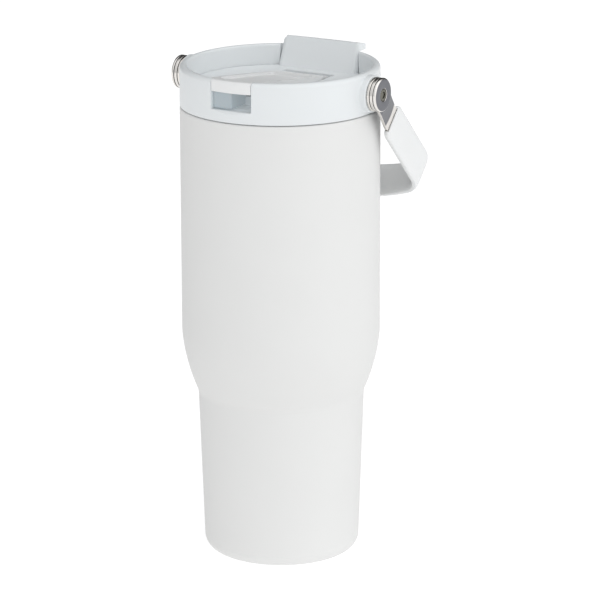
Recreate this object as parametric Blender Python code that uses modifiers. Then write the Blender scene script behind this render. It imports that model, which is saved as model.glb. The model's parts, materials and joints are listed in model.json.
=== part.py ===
"""Insulated steel tumbler with a flip-straw lid and a swinging carry handle.

Metres, +Z up. The origin is the centre of the base. The handle turns on the X axis through the two
pivot bosses, the finger notch and the nose of the flip lever face -Y, and the backrest faces +Y.
"""

import math

import bmesh
import bpy
from mathutils import Matrix

# Driving dimensions
BODY_R = 0.045            # body and lid collar, outside
SEAM_Z = 0.2080           # top of the steel body
RIM_Z = 0.2270            # top of the lid collar
SHOULDER_Z = 0.1055       # where the straight upper wall starts to draw in
BASE_CORNER_R = 0.0063
BASE_OPENING_R = 0.0280
SHELL_WALL = 0.0010
LINER_WALL = 0.0008
VACUUM_STEP = 0.0038      # from the outside of the shell to the outside of the liner
GAP = 0.0003              # between pieces that touch
SIDES = 40                # facets of the large turned pieces
SMALL_SIDES = 20

# Lid
COLLAR_WALL = 0.0034
COLLAR_FOOT_Z = SEAM_Z + 0.0004
SHELF_Z = COLLAR_FOOT_Z + 0.0026
SKIRT_R = 0.0384
SKIRT_WALL = 0.0024
SKIRT_FOOT_Z = 0.1880
THREAD_CREST_R = 0.0394
LID_FLOOR_Z = 0.2026
LID_FLOOR_WALL = 0.0020
NOTCH_HALF_WIDTH = 0.0102
NOTCH_FLOOR_Z = RIM_Z - 0.0134
DECK_Z = RIM_Z - 0.0095
DECK_R = BODY_R - COLLAR_WALL - GAP
CHAMBER_HALF_WIDTH = 0.0112
CHAMBER_BACK_Y = -0.0295  # back wall of the finger chamber
CHANNEL_HALF_WIDTH = 0.0129
CHANNEL_FLOOR_Z = 0.2116
PIT_FRONT_Y = 0.0080
PIT_BACK_Y = 0.0275
PIT_FLOOR_Z = 0.2048
VENT_Y = -0.0160
LIP_INNER_R = 0.0415      # inner edge of the steel lip that the lid screws down on
GROOVE_R = 0.0370         # groove for the gasket
GROOVE_TOP_Z = SEAM_Z - 0.0012
GROOVE_FOOT_Z = SEAM_Z - 0.0044
BACKREST_Y = 0.0330       # front face of the backrest, at the deck
BACKREST_LEAN = math.radians(23.7)
BACKREST_HALF_WIDTH = 0.0202
BACKREST_TOP_Z = RIM_Z + 0.0038
BACKREST_BACK_Z = RIM_Z + 0.0020
BACKREST_OUTER_R = 0.0478  # its back follows the collar
BACKREST_CORNER_R = 0.0025
SEAT_Y = 0.0385           # the collar's wall is relieved up to here for the backrest's corners

# Flip lever, on a hinge parallel to X
HINGE_Y = 0.0190
HINGE_Z = 0.2130
BARREL_R = 0.0055
LEVER_FRONT_Y = -0.0410   # the lever is level with the rim up to here, and then falls
LEVER_PLATE_Y = -0.0388   # front of the wide part, inside the collar
LEVER_HALF_WIDTH = 0.0125
LEVER_THICKNESS = 0.0052
LEVER_SLOPE = math.radians(8.0)
TRAY_HALF_WIDTH = 0.0112
TRAY_DEPTH = 0.0012
SPOUT_X = -0.0051         # centre of the drinking channel
SPOUT_BORE_R = 0.0020
SPOUT_BORE_DEPTH = 0.0044
RIB_HALF_WIDTH = 0.0034
PIN_R = 0.0018
STRAW_R = 0.0040
STRAW_WALL = 0.0008
STRAW_FOOT_Z = 0.0085

# Handle, drawn hanging straight down from its pivot and then swung back to rest on the body
PIVOT_Z = RIM_Z - 0.0092
BOSS_R = 0.0083
BOSS_FACE_X = 0.0476
WASHER_R = 0.00765
WASHER_WALL = 0.0012
STRAP_WALL = 0.0014
STRAP_END_R = 0.0076
STRAP_INNER_X = BOSS_FACE_X + WASHER_WALL + 2 * GAP
STRAP_BEND = 0.0078       # distance from the pivot to the first bend of the strap
STRAP_SETTLE = 0.0175     # distance from the pivot to its second bend
CAP_WALL = 0.0014
CAP_INNER_X = STRAP_INNER_X + STRAP_WALL + GAP
CAP_FACE_X = CAP_INNER_X + CAP_WALL
CAP_RECESS = 0.0010
SCREW_R = 0.0016
SCREW_HEAD_R = 0.0027
HEX_DEPTH = 0.0004
BUSH_R = 0.0032
BUSH_INNER_X = 0.0443
GRIP_OUTER_X = 0.0504
GRIP_WALL = 0.0034
GRIP_WIDTH = 0.0169
GRIP_START = 0.0203       # distance from the pivot to the end of the grip
TONGUE_HALF_WIDTH = 0.0060
TONGUE_TIP = 0.0400       # distance from the pivot to the end of the strap, inside the grip
GRIP_REACH = 0.0805       # distance from the pivot to the crown of the crossbar
GRIP_CORNER_R = 0.0142
GRIP_ARCH_R = 0.0957
HANDLE_REST = math.radians(45)

SIDE_NAMES = ((1, "right"), (-1, "left"))


# Helpers

def clear_scene():
    for obj in list(bpy.data.objects):
        bpy.data.objects.remove(obj, do_unlink=True)


def new_collection(name):
    made = bpy.data.collections.new(name)
    bpy.context.scene.collection.children.link(made)
    return made


def principled(name, colour, roughness, metallic=0.0):
    made = bpy.data.materials.new(name)
    made.use_nodes = True
    shader = made.node_tree.nodes["Principled BSDF"]
    shader.inputs["Base Color"].default_value = (*colour, 1.0)
    shader.inputs["Roughness"].default_value = roughness
    shader.inputs["Metallic"].default_value = metallic
    return made


def mesh_of(name, work):
    mesh = bpy.data.meshes.new(name)
    bmesh.ops.recalc_face_normals(work, faces=work.faces)
    work.to_mesh(mesh)
    work.free()
    return mesh


def add_part(name, mesh, material, sharp_degrees=40):
    part = bpy.data.objects.new(name, mesh)
    mesh.materials.append(material)
    mesh.shade_smooth()
    mesh.set_sharp_from_angle(angle=math.radians(sharp_degrees))
    PARTS.objects.link(part)
    return part


def add_tool(name, mesh):
    tool = bpy.data.objects.new(name, mesh)
    tool.hide_render = True
    tool.display_type = "WIRE"
    TOOLS.objects.link(tool)
    return tool


def combine(part, tool, operation):
    step = part.modifiers.new(f"{operation.lower()}_{tool.name}", "BOOLEAN")
    step.operation = operation
    step.solver = "EXACT"
    step.object = tool
    return part


def box_tool(name, low, high):
    size = [b - a for a, b in zip(low, high)]
    middle = [(a + b) / 2 for a, b in zip(low, high)]
    work = bmesh.new()
    bmesh.ops.create_cube(work, size=1.0)
    bmesh.ops.scale(work, vec=size, verts=work.verts)
    bmesh.ops.translate(work, vec=middle, verts=work.verts)
    return add_tool(name, mesh_of(name, work))


def rod_mesh(name, radius, start, end, centre, axis, sides=SMALL_SIDES):
    """A rod along axis X or Z from start to end, centred on the other two coordinates."""
    work = bmesh.new()
    bmesh.ops.create_cone(
        work, cap_ends=True, segments=sides, depth=end - start, radius1=radius, radius2=radius
    )
    middle = (start + end) / 2
    if axis == "X":
        bmesh.ops.rotate(work, matrix=Matrix.Rotation(math.pi / 2, 3, "Y"), verts=work.verts)
        place = (middle, *centre)
    else:
        place = (*centre, middle)
    bmesh.ops.translate(work, vec=place, verts=work.verts)
    return mesh_of(name, work)


def rod_tool(name, radius, start, end, centre, axis, sides=SMALL_SIDES):
    return add_tool(name, rod_mesh(name, radius, start, end, centre, axis, sides))


def extruded_mesh(name, outline, start, end, place):
    """A flat outline made a prism from start to end; place turns (u, v, depth) into (x, y, z)."""
    work = bmesh.new()
    face = work.faces.new([work.verts.new(place(u, v, start)) for u, v in outline])
    risen = bmesh.ops.extrude_face_region(work, geom=[face])
    top = [item for item in risen["geom"] if isinstance(item, bmesh.types.BMVert)]
    bmesh.ops.translate(work, vec=place(0.0, 0.0, end - start), verts=top)
    return mesh_of(name, work)


def along_x(u, v, depth):
    return depth, u, v


def along_y(u, v, depth):
    return u, depth, v


def turned_mesh(name, profile, closed):
    points = [(r, 0.0, z) for r, z in profile]
    edges = [(i, i + 1) for i in range(len(points) - 1)]
    if closed:
        edges.append((len(points) - 1, 0))
    mesh = bpy.data.meshes.new(name)
    mesh.from_pydata(points, edges, [])
    return mesh


def turn(part, sides=SIDES):
    spin = part.modifiers.new("turned", "SCREW")
    spin.steps = sides
    spin.render_steps = sides
    spin.use_merge_vertices = True
    spin.merge_threshold = 0.00001
    spin.use_smooth_shade = True
    weld = part.modifiers.new("poles", "WELD")
    weld.merge_threshold = 0.00001
    return part


def turned_part(name, profile, material, closed=True, sides=SIDES):
    """A piece turned about Z. The profile runs down the outside of the piece, top to bottom."""
    part = bpy.data.objects.new(name, turned_mesh(name, profile, closed))
    part.data.materials.append(material)
    PARTS.objects.link(part)
    return turn(part, sides)


def rounded_edges(part, width, segments=2, angle=40):
    step = part.modifiers.new("rounded", "BEVEL")
    step.width = width
    step.segments = segments
    step.limit_method = "ANGLE"
    step.angle_limit = math.radians(angle)
    return part


def arc(centre, radius, first, last, steps):
    """Points on a circle from angle first to angle last, in degrees, both ends included."""
    turns = [math.radians(first + (last - first) * i / steps) for i in range(steps + 1)]
    return [(centre[0] + radius * math.cos(a), centre[1] + radius * math.sin(a)) for a in turns]


def hang_on(part, empty):
    """Parents a part, drawn in world coordinates, to an empty that stands on its joint axis."""
    part.data.transform(empty_inverse(empty))
    part.parent = empty
    return part


def empty_inverse(empty):
    return Matrix.Translation(-empty.location)


def add_empty(name, location):
    empty = bpy.data.objects.new(name, None)
    empty.location = location
    empty.empty_display_size = 0.01
    PARTS.objects.link(empty)
    return empty


def hang_tools(part, empty):
    """Makes the tools of a hung part follow the same empty."""
    for step in part.modifiers:
        if step.type == "BOOLEAN" and step.object.parent is None:
            hang_on(step.object, empty)


# Body

def body_path(depth, arc_steps):
    """The wall from the seam to the base, set in from the outside by depth.

    The path is followed from the top as straight runs and tangent arcs. Its heading is the angle
    from straight down, and grows as the wall turns inwards.
    """
    shoulder = ((0.040, 6.84, 1), (0.087, 23.65, 5), (-0.003, 2.0, 1))
    radius, height, heading = BODY_R, SHOULDER_Z, 0.0
    stations = [(BODY_R, SEAM_Z, 0.0), (radius, height, heading)]

    def bend(bend_radius, last_heading, steps):
        nonlocal radius, height, heading
        start = math.radians(heading)
        for i in range(1, steps + 1):
            now = start + (math.radians(last_heading) - start) * i / steps
            stations.append((
                radius + bend_radius * (math.cos(now) - math.cos(start)),
                height - bend_radius * (math.sin(now) - math.sin(start)),
                math.degrees(now),
            ))
        radius, height, heading = stations[-1]

    for bend_radius, last_heading, steps in shoulder:
        bend(bend_radius, last_heading, max(1, round(steps * arc_steps)))
    foot = BASE_CORNER_R * (1 - math.sin(math.radians(heading)))
    radius -= (height - foot) * math.tan(math.radians(heading))
    height = foot
    stations.append((radius, height, heading))
    bend(BASE_CORNER_R, 90.0, max(2, round(4 * arc_steps)))
    path = []
    for r, z, angle in stations:
        turn_angle = math.radians(angle)
        path.append((r - depth * math.cos(turn_angle), z + depth * math.sin(turn_angle)))
    return path


def outer_shell():
    lip = 0.0008
    top = [(LIP_INNER_R, SEAM_Z)] + arc((BODY_R - lip, SEAM_Z - lip), lip, 90, 0, 2)
    outside = top + body_path(0.0, 1.0)[1:] + [(BASE_OPENING_R, 0.0)]
    inside = [(LIP_INNER_R, SEAM_Z - SHELL_WALL), (BODY_R - SHELL_WALL, SEAM_Z - SHELL_WALL)]
    inside += body_path(SHELL_WALL, 0.6)[1:] + [(BASE_OPENING_R, SHELL_WALL)]
    return turned_part("outer_shell", outside + inside[::-1], COATED_STEEL)


def inner_liner():
    outside = body_path(VACUUM_STEP, 0.6)
    inside = body_path(VACUUM_STEP + LINER_WALL, 0.6)
    profile = [(0.0, inside[-1][1])] + inside[::-1] + outside + [(0.0, outside[-1][1])]
    return turned_part("inner_liner", profile, BARE_STEEL, closed=False)


def base_plate():
    radius = BASE_OPENING_R - GAP
    groove = 0.0004
    profile = [
        (0.0, 0.0012), (radius, 0.0012), (radius, 0.0), (0.0235, 0.0), (0.0230, groove),
        (0.0140, groove), (0.0135, 0.0), (0.0, 0.0),
    ]
    return turned_part("base_plate", profile, BARE_STEEL, closed=False)


def getter_pellet():
    mesh = rod_mesh("getter_pellet", 0.0060, 0.0015, 0.0030, (0.0, 0.0), "Z")
    return add_part("getter_pellet", mesh, GETTER_METAL)


# Lid

def lid_body():
    inner_r = BODY_R - COLLAR_WALL
    skirt_in = SKIRT_R - SKIRT_WALL
    lip_in, lip_out, foot = 0.0008, 0.0018, 0.0004
    inside_lip = arc((inner_r + lip_in, RIM_Z - lip_in), lip_in, 180, 90, 2)
    outside_lip = arc((BODY_R - lip_out, RIM_Z - lip_out), lip_out, 90, 0, 4)
    profile = [(0.0, LID_FLOOR_Z), (skirt_in, LID_FLOOR_Z), (skirt_in, SHELF_Z), (inner_r, SHELF_Z)]
    profile += inside_lip + outside_lip
    profile += [
        (BODY_R, COLLAR_FOOT_Z + foot), (BODY_R - foot, COLLAR_FOOT_Z), (SKIRT_R, COLLAR_FOOT_Z),
        (SKIRT_R, GROOVE_TOP_Z), (GROOVE_R, GROOVE_TOP_Z), (GROOVE_R, GROOVE_FOOT_Z),
        (SKIRT_R, GROOVE_FOOT_Z), (SKIRT_R, SKIRT_FOOT_Z), (skirt_in, SKIRT_FOOT_Z),
        (skirt_in, LID_FLOOR_Z - LID_FLOOR_WALL), (0.0, LID_FLOOR_Z - LID_FLOOR_WALL),
    ]
    lid = turned_part("lid_body", profile, LID_PLASTIC, closed=False)
    for side, word in SIDE_NAMES:
        ends = sorted((side * (inner_r + 0.0008), side * BOSS_FACE_X))
        boss = rod_tool(f"boss_{word}", BOSS_R, *ends, (0.0, PIVOT_Z), "X", SIDES)
        combine(lid, boss, "UNION")
    combine(lid, thread_ridge("lid_thread"), "UNION")
    for side, word in SIDE_NAMES:
        ends = sorted((side * 0.0440, side * 0.0600))
        bore = rod_tool(f"bush_bore_{word}", 0.0035, *ends, (0.0, PIVOT_Z), "X")
        combine(lid, bore, "DIFFERENCE")
    notch = box_tool(
        "finger_notch", (-NOTCH_HALF_WIDTH, -0.050, NOTCH_FLOOR_Z), (NOTCH_HALF_WIDTH, -0.036, 0.240)
    )
    combine(lid, notch, "DIFFERENCE")
    seat_x = BACKREST_HALF_WIDTH + GAP
    seat = box_tool("backrest_seat", (-seat_x, 0.0300, DECK_Z - 0.0012), (seat_x, SEAT_Y, 0.240))
    combine(lid, seat, "DIFFERENCE")
    straw_hole = rod_tool("straw_hole", 0.0045, 0.198, 0.206, (0.0, HINGE_Y), "Z")
    combine(lid, straw_hole, "DIFFERENCE")
    vent_hole = rod_tool("vent_hole", 0.0019, 0.198, 0.206, (0.0, VENT_Y), "Z")
    return combine(lid, vent_hole, "DIFFERENCE")


def thread_ridge(name):
    """A helical ridge, as a round bead half sunk into the skirt."""
    bead, pitch, turns, steps = 0.0010, 0.0045, 1.4, 40
    count = int(turns * steps)
    curve = bpy.data.curves.new(name, "CURVE")
    curve.dimensions = "3D"
    curve.bevel_depth = bead
    curve.bevel_resolution = 1
    curve.use_fill_caps = True
    spline = curve.splines.new("POLY")
    spline.points.add(count)
    for i, point in enumerate(spline.points):
        angle = 2 * math.pi * i / steps
        radius = THREAD_CREST_R - bead
        height = 0.1915 + pitch * i / steps
        point.co = (radius * math.cos(angle), radius * math.sin(angle), height, 1.0)
    bead_object = bpy.data.objects.new(name, curve)
    TOOLS.objects.link(bead_object)
    bpy.context.view_layer.update()
    evaluated = bead_object.evaluated_get(bpy.context.evaluated_depsgraph_get())
    mesh = bpy.data.meshes.new_from_object(evaluated)
    bpy.data.objects.remove(bead_object)
    work = bmesh.new()
    work.from_mesh(mesh)
    bmesh.ops.remove_doubles(work, verts=work.verts, dist=0.00001)
    return add_tool(name, mesh_of(name, work))


def lid_gasket():
    foot, top = GROOVE_FOOT_Z + GAP, GROOVE_TOP_Z - GAP
    inner, outer = GROOVE_R + GAP, 0.0401
    middle = (foot + top) / 2
    profile = [
        (inner, top), (outer - 0.0008, top), (outer, top - 0.0006), (outer - 0.0007, middle),
        (outer, foot + 0.0006), (outer - 0.0008, foot), (inner, foot),
    ]
    return turned_part("lid_gasket", profile, GREY_SILICONE)


def lid_deck():
    rim_wall, plate, under = 0.0018, 0.0018, 0.0022
    foot = SHELF_Z + GAP
    box_top = DECK_Z - 0.0008
    profile = [
        (0.0, DECK_Z), (DECK_R - 0.0003, DECK_Z), (DECK_R, DECK_Z - 0.0003), (DECK_R, foot),
        (DECK_R - rim_wall, foot), (DECK_R - rim_wall, DECK_Z - plate), (0.0, DECK_Z - plate),
    ]
    deck = turned_part("lid_deck", profile, LID_PLASTIC, closed=False)
    wide = CHANNEL_HALF_WIDTH + 0.0020
    chamber_wall = CHAMBER_HALF_WIDTH + 0.0015
    walls = (
        ("chamber_walls", (-chamber_wall, -0.0390, foot), (chamber_wall, -0.0275, box_top)),
        ("channel_walls", (-wide, -0.0300, CHANNEL_FLOOR_Z - 0.0020), (wide, 0.0100, box_top)),
        ("pit_walls", (-wide, 0.0060, PIT_FLOOR_Z - 0.0018), (wide, 0.0295, box_top)),
    )
    for name, low, high in walls:
        combine(deck, box_tool(name, low, high), "UNION")
    combine(deck, backrest_block(), "UNION")
    reach, high_z = CHANNEL_HALF_WIDTH, 0.240
    cuts = (
        (
            "chamber", (-CHAMBER_HALF_WIDTH, -0.0440, foot + under),
            (CHAMBER_HALF_WIDTH, CHAMBER_BACK_Y, high_z),
        ),
        ("channel", (-reach, -0.0265, CHANNEL_FLOOR_Z), (reach, PIT_BACK_Y, high_z)),
        ("spout_slot", (SPOUT_X - 0.0040, -0.0310, foot + under), (SPOUT_X + 0.0040, -0.0250, high_z)),
        ("pit", (-reach, PIT_FRONT_Y, PIT_FLOOR_Z), (reach, PIT_BACK_Y, high_z - 0.001)),
    )
    for name, low, high in cuts:
        combine(deck, box_tool(name, low, high), "DIFFERENCE")
    port = rod_tool("straw_port", 0.0034, 0.200, 0.208, (0.0, HINGE_Y), "Z")
    combine(deck, port, "DIFFERENCE")
    air = rod_tool("air_port", 0.0012, 0.206, 0.214, (0.0, VENT_Y), "Z", 12)
    combine(deck, air, "DIFFERENCE")
    pin_bore = rod_tool("pin_bore", PIN_R + 0.0001, -0.020, 0.020, (HINGE_Y, HINGE_Z), "X")
    return combine(deck, pin_bore, "DIFFERENCE")


def backrest_face(z):
    """Where the leaning front face of the backrest is at a height."""
    return BACKREST_Y + (z - DECK_Z) * math.tan(BACKREST_LEAN)


def backrest_block():
    """The upright block behind the lever: it fills the collar's back and hooks over the rim."""
    half, corner = BACKREST_HALF_WIDTH, BACKREST_CORNER_R
    low, hook_z = DECK_Z - 0.0009, RIM_Z + GAP
    hook_side = [
        (backrest_face(hook_z), hook_z), (backrest_face(BACKREST_TOP_Z), BACKREST_TOP_Z),
        (BACKREST_OUTER_R, BACKREST_BACK_Z), (BACKREST_OUTER_R, hook_z),
    ]
    hook = add_tool("backrest_hook", extruded_mesh("backrest_hook", hook_side, -BODY_R, BODY_R, along_x))
    left = arc((-half + corner, BACKREST_TOP_Z - corner), corner, 180, 90, 4)
    right = arc((half - corner, BACKREST_TOP_Z - corner), corner, 90, 0, 4)
    front = [(-half, low), *left, *right, (half, low)]
    shape = extruded_mesh("backrest_shape", front, BACKREST_Y, BODY_R + 0.005, along_y)
    combine(hook, add_tool("backrest_shape", shape), "INTERSECT")
    back = rod_tool("backrest_back", BACKREST_OUTER_R, 0.220, 0.240, (0.0, 0.0), "Z", SIDES)
    combine(hook, back, "INTERSECT")
    top, step = hook_z + 0.0008, 0.0001
    post_side = [
        (backrest_face(low) + step, low), (backrest_face(top) + step, top), (BODY_R, top), (BODY_R, low),
    ]
    post_mesh = extruded_mesh("backrest", post_side, step - half, half - step, along_x)
    post = add_tool("backrest", post_mesh)
    room = rod_tool("collar_inside", DECK_R - 0.0002, 0.200, 0.240, (0.0, 0.0), "Z", SIDES)
    corners = (-BODY_R, 0.0250, DECK_Z - 0.0007), (BODY_R, SEAT_Y - GAP, 0.239)
    combine(room, box_tool("seat_room", *corners), "UNION")
    combine(post, room, "INTERSECT")
    return combine(post, hook, "UNION")


def vent_valve():
    top = LID_FLOOR_Z + GAP
    foot = LID_FLOOR_Z - LID_FLOOR_WALL - GAP
    profile = [
        (0.0, top + 0.0010), (0.0022, top + 0.0008), (0.0034, top), (0.0015, top),
        (0.0015, foot), (0.0026, foot), (0.0018, foot - 0.0016), (0.0, foot - 0.0016),
    ]
    valve = turned_part("vent_valve", profile, GREY_SILICONE, closed=False, sides=16)
    valve.location = (0.0, VENT_Y, 0.0)
    return valve


def barrel_seal():
    low, high = PIT_FLOOR_Z + GAP, HINGE_Z - BARREL_R - GAP
    profile = [(0.0032, high), (0.0050, high), (0.0056, high - 0.0006), (0.0056, low), (0.0032, low)]
    seal = turned_part("barrel_seal", profile, GREY_SILICONE, sides=24)
    seal.location = (0.0, HINGE_Y, 0.0)
    return seal


def straw_socket():
    top, shoulder, foot = PIT_FLOOR_Z - 0.0018 - GAP, 0.1990, 0.1860
    under_floor = LID_FLOOR_Z - LID_FLOOR_WALL - GAP
    bore = STRAW_R + GAP
    profile = [
        (0.0031, top), (0.0042, top), (0.0042, under_floor), (0.0070, under_floor),
        (0.0070, under_floor - 0.0013), (0.0053, under_floor - 0.0013), (0.0053, foot), (bore, foot),
        (bore, shoulder - 0.0008), (0.0031, shoulder - 0.0008),
    ]
    socket = turned_part("straw_socket", profile, LID_PLASTIC, sides=24)
    socket.location = (0.0, HINGE_Y, 0.0)
    return socket


def straw():
    top = 0.1979
    inner = STRAW_R - STRAW_WALL
    profile = [(inner, top), (STRAW_R, top), (STRAW_R, STRAW_FOOT_Z), (inner, STRAW_FOOT_Z)]
    tube = turned_part("straw", profile, CLEAR_PLASTIC, sides=24)
    tube.location = (0.0, HINGE_Y, 0.0)
    return tube


# Flip lever

def lever_top(y):
    """Height of the lever's upper face: level with the rim at the nose, and falling to the hinge."""
    return RIM_Z - max(0.0, y - LEVER_FRONT_Y) * math.tan(LEVER_SLOPE)


def sloped_prism(name, half_width, y_range, above, below, centre_x=0.0):
    """A prism that lies along the lever, between two depths under its upper face."""
    stations = [y_range[0], y_range[1]]
    if y_range[0] < LEVER_FRONT_Y < y_range[1]:
        stations.insert(1, LEVER_FRONT_Y)
    outline = [(y, lever_top(y) - above) for y in stations]
    outline += [(y, lever_top(y) - below) for y in reversed(stations)]
    return extruded_mesh(name, outline, centre_x - half_width, centre_x + half_width, along_x)


def flip_lever(hinge):
    half = LEVER_HALF_WIDTH
    plate = sloped_prism("flip_lever", half, (LEVER_PLATE_Y, HINGE_Y), 0.0, LEVER_THICKNESS)
    lever = add_part("flip_lever", plate, LID_PLASTIC)
    nose = sloped_prism("nose", NOTCH_HALF_WIDTH - GAP, (-0.0460, -0.0370), 0.0, LEVER_THICKNESS)
    nose_tool = add_tool("nose", nose)
    envelope = rod_tool("collar_outside", BODY_R, 0.200, RIM_Z, (0.0, 0.0), "Z", SIDES)
    combine(nose_tool, envelope, "INTERSECT")
    combine(lever, nose_tool, "UNION")
    barrel = rod_tool("barrel", BARREL_R, -half, half, (HINGE_Y, HINGE_Z), "X", SIDES)
    combine(lever, barrel, "UNION")
    rib = sloped_prism("rib", RIB_HALF_WIDTH, (-0.0285, HINGE_Y), 0.0020, 0.0070, SPOUT_X)
    combine(lever, add_tool("rib", rib), "UNION")
    tray = sloped_prism("tray", TRAY_HALF_WIDTH, (-0.0378, 0.0125), -0.0050, TRAY_DEPTH)
    combine(lever, add_tool("tray", tray), "DIFFERENCE")
    combine(lever, lever_bore("spout_bore", (-0.0330, HINGE_Y), SPOUT_BORE_DEPTH), "DIFFERENCE")
    port = rod_tool("barrel_port", 0.0030, HINGE_Z - 0.0100, HINGE_Z + 0.0005, (0.0, HINGE_Y), "Z")
    combine(lever, port, "DIFFERENCE")
    for side, word in SIDE_NAMES:
        ends = sorted((side * 0.0082, side * 0.0140))
        pin_bore = rod_tool(f"lever_pin_bore_{word}", PIN_R + 0.0001, *ends, (HINGE_Y, HINGE_Z), "X")
        combine(lever, pin_bore, "DIFFERENCE")
    hang_on(nose_tool, hinge)
    hang_on(envelope, hinge)
    hang_tools(lever, hinge)
    return hang_on(lever, hinge)


def lever_bore(name, y_range, depth):
    """The drinking channel: a rod that runs along the lever at a depth under its upper face."""
    first, last = y_range
    length = (last - first) / math.cos(LEVER_SLOPE)
    middle = (first + last) / 2
    work = bmesh.new()
    bmesh.ops.create_cone(
        work, cap_ends=True, segments=12, depth=length, radius1=SPOUT_BORE_R, radius2=SPOUT_BORE_R
    )
    lean = Matrix.Rotation(math.pi / 2 - LEVER_SLOPE, 3, "X")
    bmesh.ops.rotate(work, matrix=lean, verts=work.verts)
    bmesh.ops.translate(work, vec=(SPOUT_X, middle, lever_top(middle) - depth), verts=work.verts)
    return add_tool(name, mesh_of(name, work))


def mouthpiece(hinge):
    """The soft drinking spout under the nose; its mouth faces forwards once the lever is up."""
    front, back, foot = -0.0430, -0.0301, NOTCH_FLOOR_Z + 0.0006
    low_x, high_x = GAP - NOTCH_HALF_WIDTH, -0.0002
    drop = LEVER_THICKNESS + GAP
    outline = [
        (front, lever_top(front) - drop), (back, lever_top(back) - drop), (back, foot), (front, foot),
    ]
    block = add_part("mouthpiece", extruded_mesh("mouthpiece", outline, low_x, high_x, along_x),
                     WHITE_SILICONE)
    mouth = rod_tool("mouth", SPOUT_BORE_R, foot - 0.002, 0.2245, (SPOUT_X, -0.0345), "Z", 16)
    combine(block, mouth, "DIFFERENCE")
    rounded_edges(block, 0.0006, 1)
    hang_tools(block, hinge)
    return hang_on(block, hinge)


def hinge_pins():
    for side, word in SIDE_NAMES:
        ends = sorted((side * 0.0085, side * 0.0148))
        mesh = rod_mesh(f"hinge_pin_{word}", PIN_R, *ends, (HINGE_Y, HINGE_Z), "X")
        add_part(f"hinge_pin_{word}", mesh, BARE_STEEL)


# Handle and its pivots

def pivot_stack(side, word):
    """What stays with the lid at one pivot: threaded insert, inner ring, cap and screw."""
    axis_at = (0.0, PIVOT_Z)
    insert_ends = sorted((side * BUSH_INNER_X, side * (BOSS_FACE_X - 0.0002)))
    bush = add_part(
        f"pivot_bush_{word}", rod_mesh(f"pivot_bush_{word}", BUSH_R, *insert_ends, axis_at, "X"), BRASS
    )
    bush_bore = rod_tool(
        f"thread_bore_{word}", SCREW_R + 0.0002, *sorted((side * 0.040, side * 0.060)), axis_at, "X"
    )
    combine(bush, bush_bore, "DIFFERENCE")
    ring(f"inner_washer_{word}", side, BOSS_FACE_X + GAP, WASHER_WALL)
    cap = ring(f"pivot_cap_{word}", side, CAP_INNER_X, CAP_WALL)
    recess_ends = sorted((side * (CAP_FACE_X - CAP_RECESS), side * 0.060))
    recess = rod_tool(f"recess_{word}", SCREW_HEAD_R + GAP, *recess_ends, axis_at, "X")
    combine(cap, recess, "DIFFERENCE")
    rounded_edges(cap, 0.0004, 1, 60)
    head_x = CAP_FACE_X - CAP_RECESS + GAP
    head_top_x = CAP_FACE_X - 0.0001
    shank_ends = sorted((side * (BUSH_INNER_X + GAP), side * (head_x + 0.0002)))
    screw = add_part(
        f"pivot_screw_{word}", rod_mesh(f"pivot_screw_{word}", SCREW_R, *shank_ends, axis_at, "X"),
        BARE_STEEL,
    )
    head_ends = sorted((side * head_x, side * head_top_x))
    combine(screw, rod_tool(f"screw_head_{word}", SCREW_HEAD_R, *head_ends, axis_at, "X"), "UNION")
    socket_ends = sorted((side * (head_top_x - HEX_DEPTH), side * 0.060))
    socket = rod_tool(f"hex_socket_{word}", 0.0014, *socket_ends, axis_at, "X", 6)
    combine(screw, socket, "DIFFERENCE")


def ring(name, side, near, wall):
    """A steel disc on the pivot with a hole for the screw."""
    ends = sorted((side * near, side * (near + wall)))
    disc = add_part(name, rod_mesh(name, WASHER_R, *ends, (0.0, PIVOT_Z), "X", 32), BARE_STEEL)
    bore = rod_tool(f"{name}_bore", SCREW_R + GAP, -0.06, 0.06, (0.0, PIVOT_Z), "X")
    return combine(disc, bore, "DIFFERENCE")


def down_from_pivot(distance):
    return PIVOT_Z - distance


def strap(side, word, pivot):
    """A steel strap: flat round eye, a joggle inwards, and a tongue inside the grip."""
    eye_in, eye_out = STRAP_INNER_X, STRAP_INNER_X + STRAP_WALL
    tongue_in = GRIP_OUTER_X - GRIP_WALL / 2 - STRAP_WALL / 2
    tongue_out = tongue_in + STRAP_WALL
    section = [
        (eye_in, down_from_pivot(-0.0082)), (eye_out, down_from_pivot(-0.0082)),
        (eye_out, down_from_pivot(STRAP_BEND)), (tongue_out, down_from_pivot(STRAP_SETTLE)),
        (tongue_out, down_from_pivot(TONGUE_TIP)), (tongue_in, down_from_pivot(TONGUE_TIP)),
        (tongue_in, down_from_pivot(STRAP_SETTLE)), (eye_in, down_from_pivot(STRAP_BEND)),
    ]
    half = STRAP_END_R + 0.001
    name = f"strap_{word}"
    mesh = extruded_mesh(name, [(side * u, v) for u, v in section], -half, half, along_y)
    plate = add_part(name, mesh, BARE_STEEL)
    neck = math.degrees(math.acos(TONGUE_HALF_WIDTH / STRAP_END_R))
    face = arc((0.0, PIVOT_Z), STRAP_END_R, 180 + neck, -neck, 18)
    foot = down_from_pivot(TONGUE_TIP + 0.001)
    face += [(TONGUE_HALF_WIDTH, foot), (-TONGUE_HALF_WIDTH, foot)]
    outline = extruded_mesh(f"{name}_outline", face, *sorted((side * 0.045, side * 0.060)), along_x)
    combine(plate, add_tool(f"{name}_outline", outline), "INTERSECT")
    eye = rod_tool(f"{name}_eye", SCREW_R + 2 * GAP, -0.06, 0.06, (0.0, PIVOT_Z), "X")
    combine(plate, eye, "DIFFERENCE")
    hang_tools(plate, pivot)
    return hang_on(plate, pivot)


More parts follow.
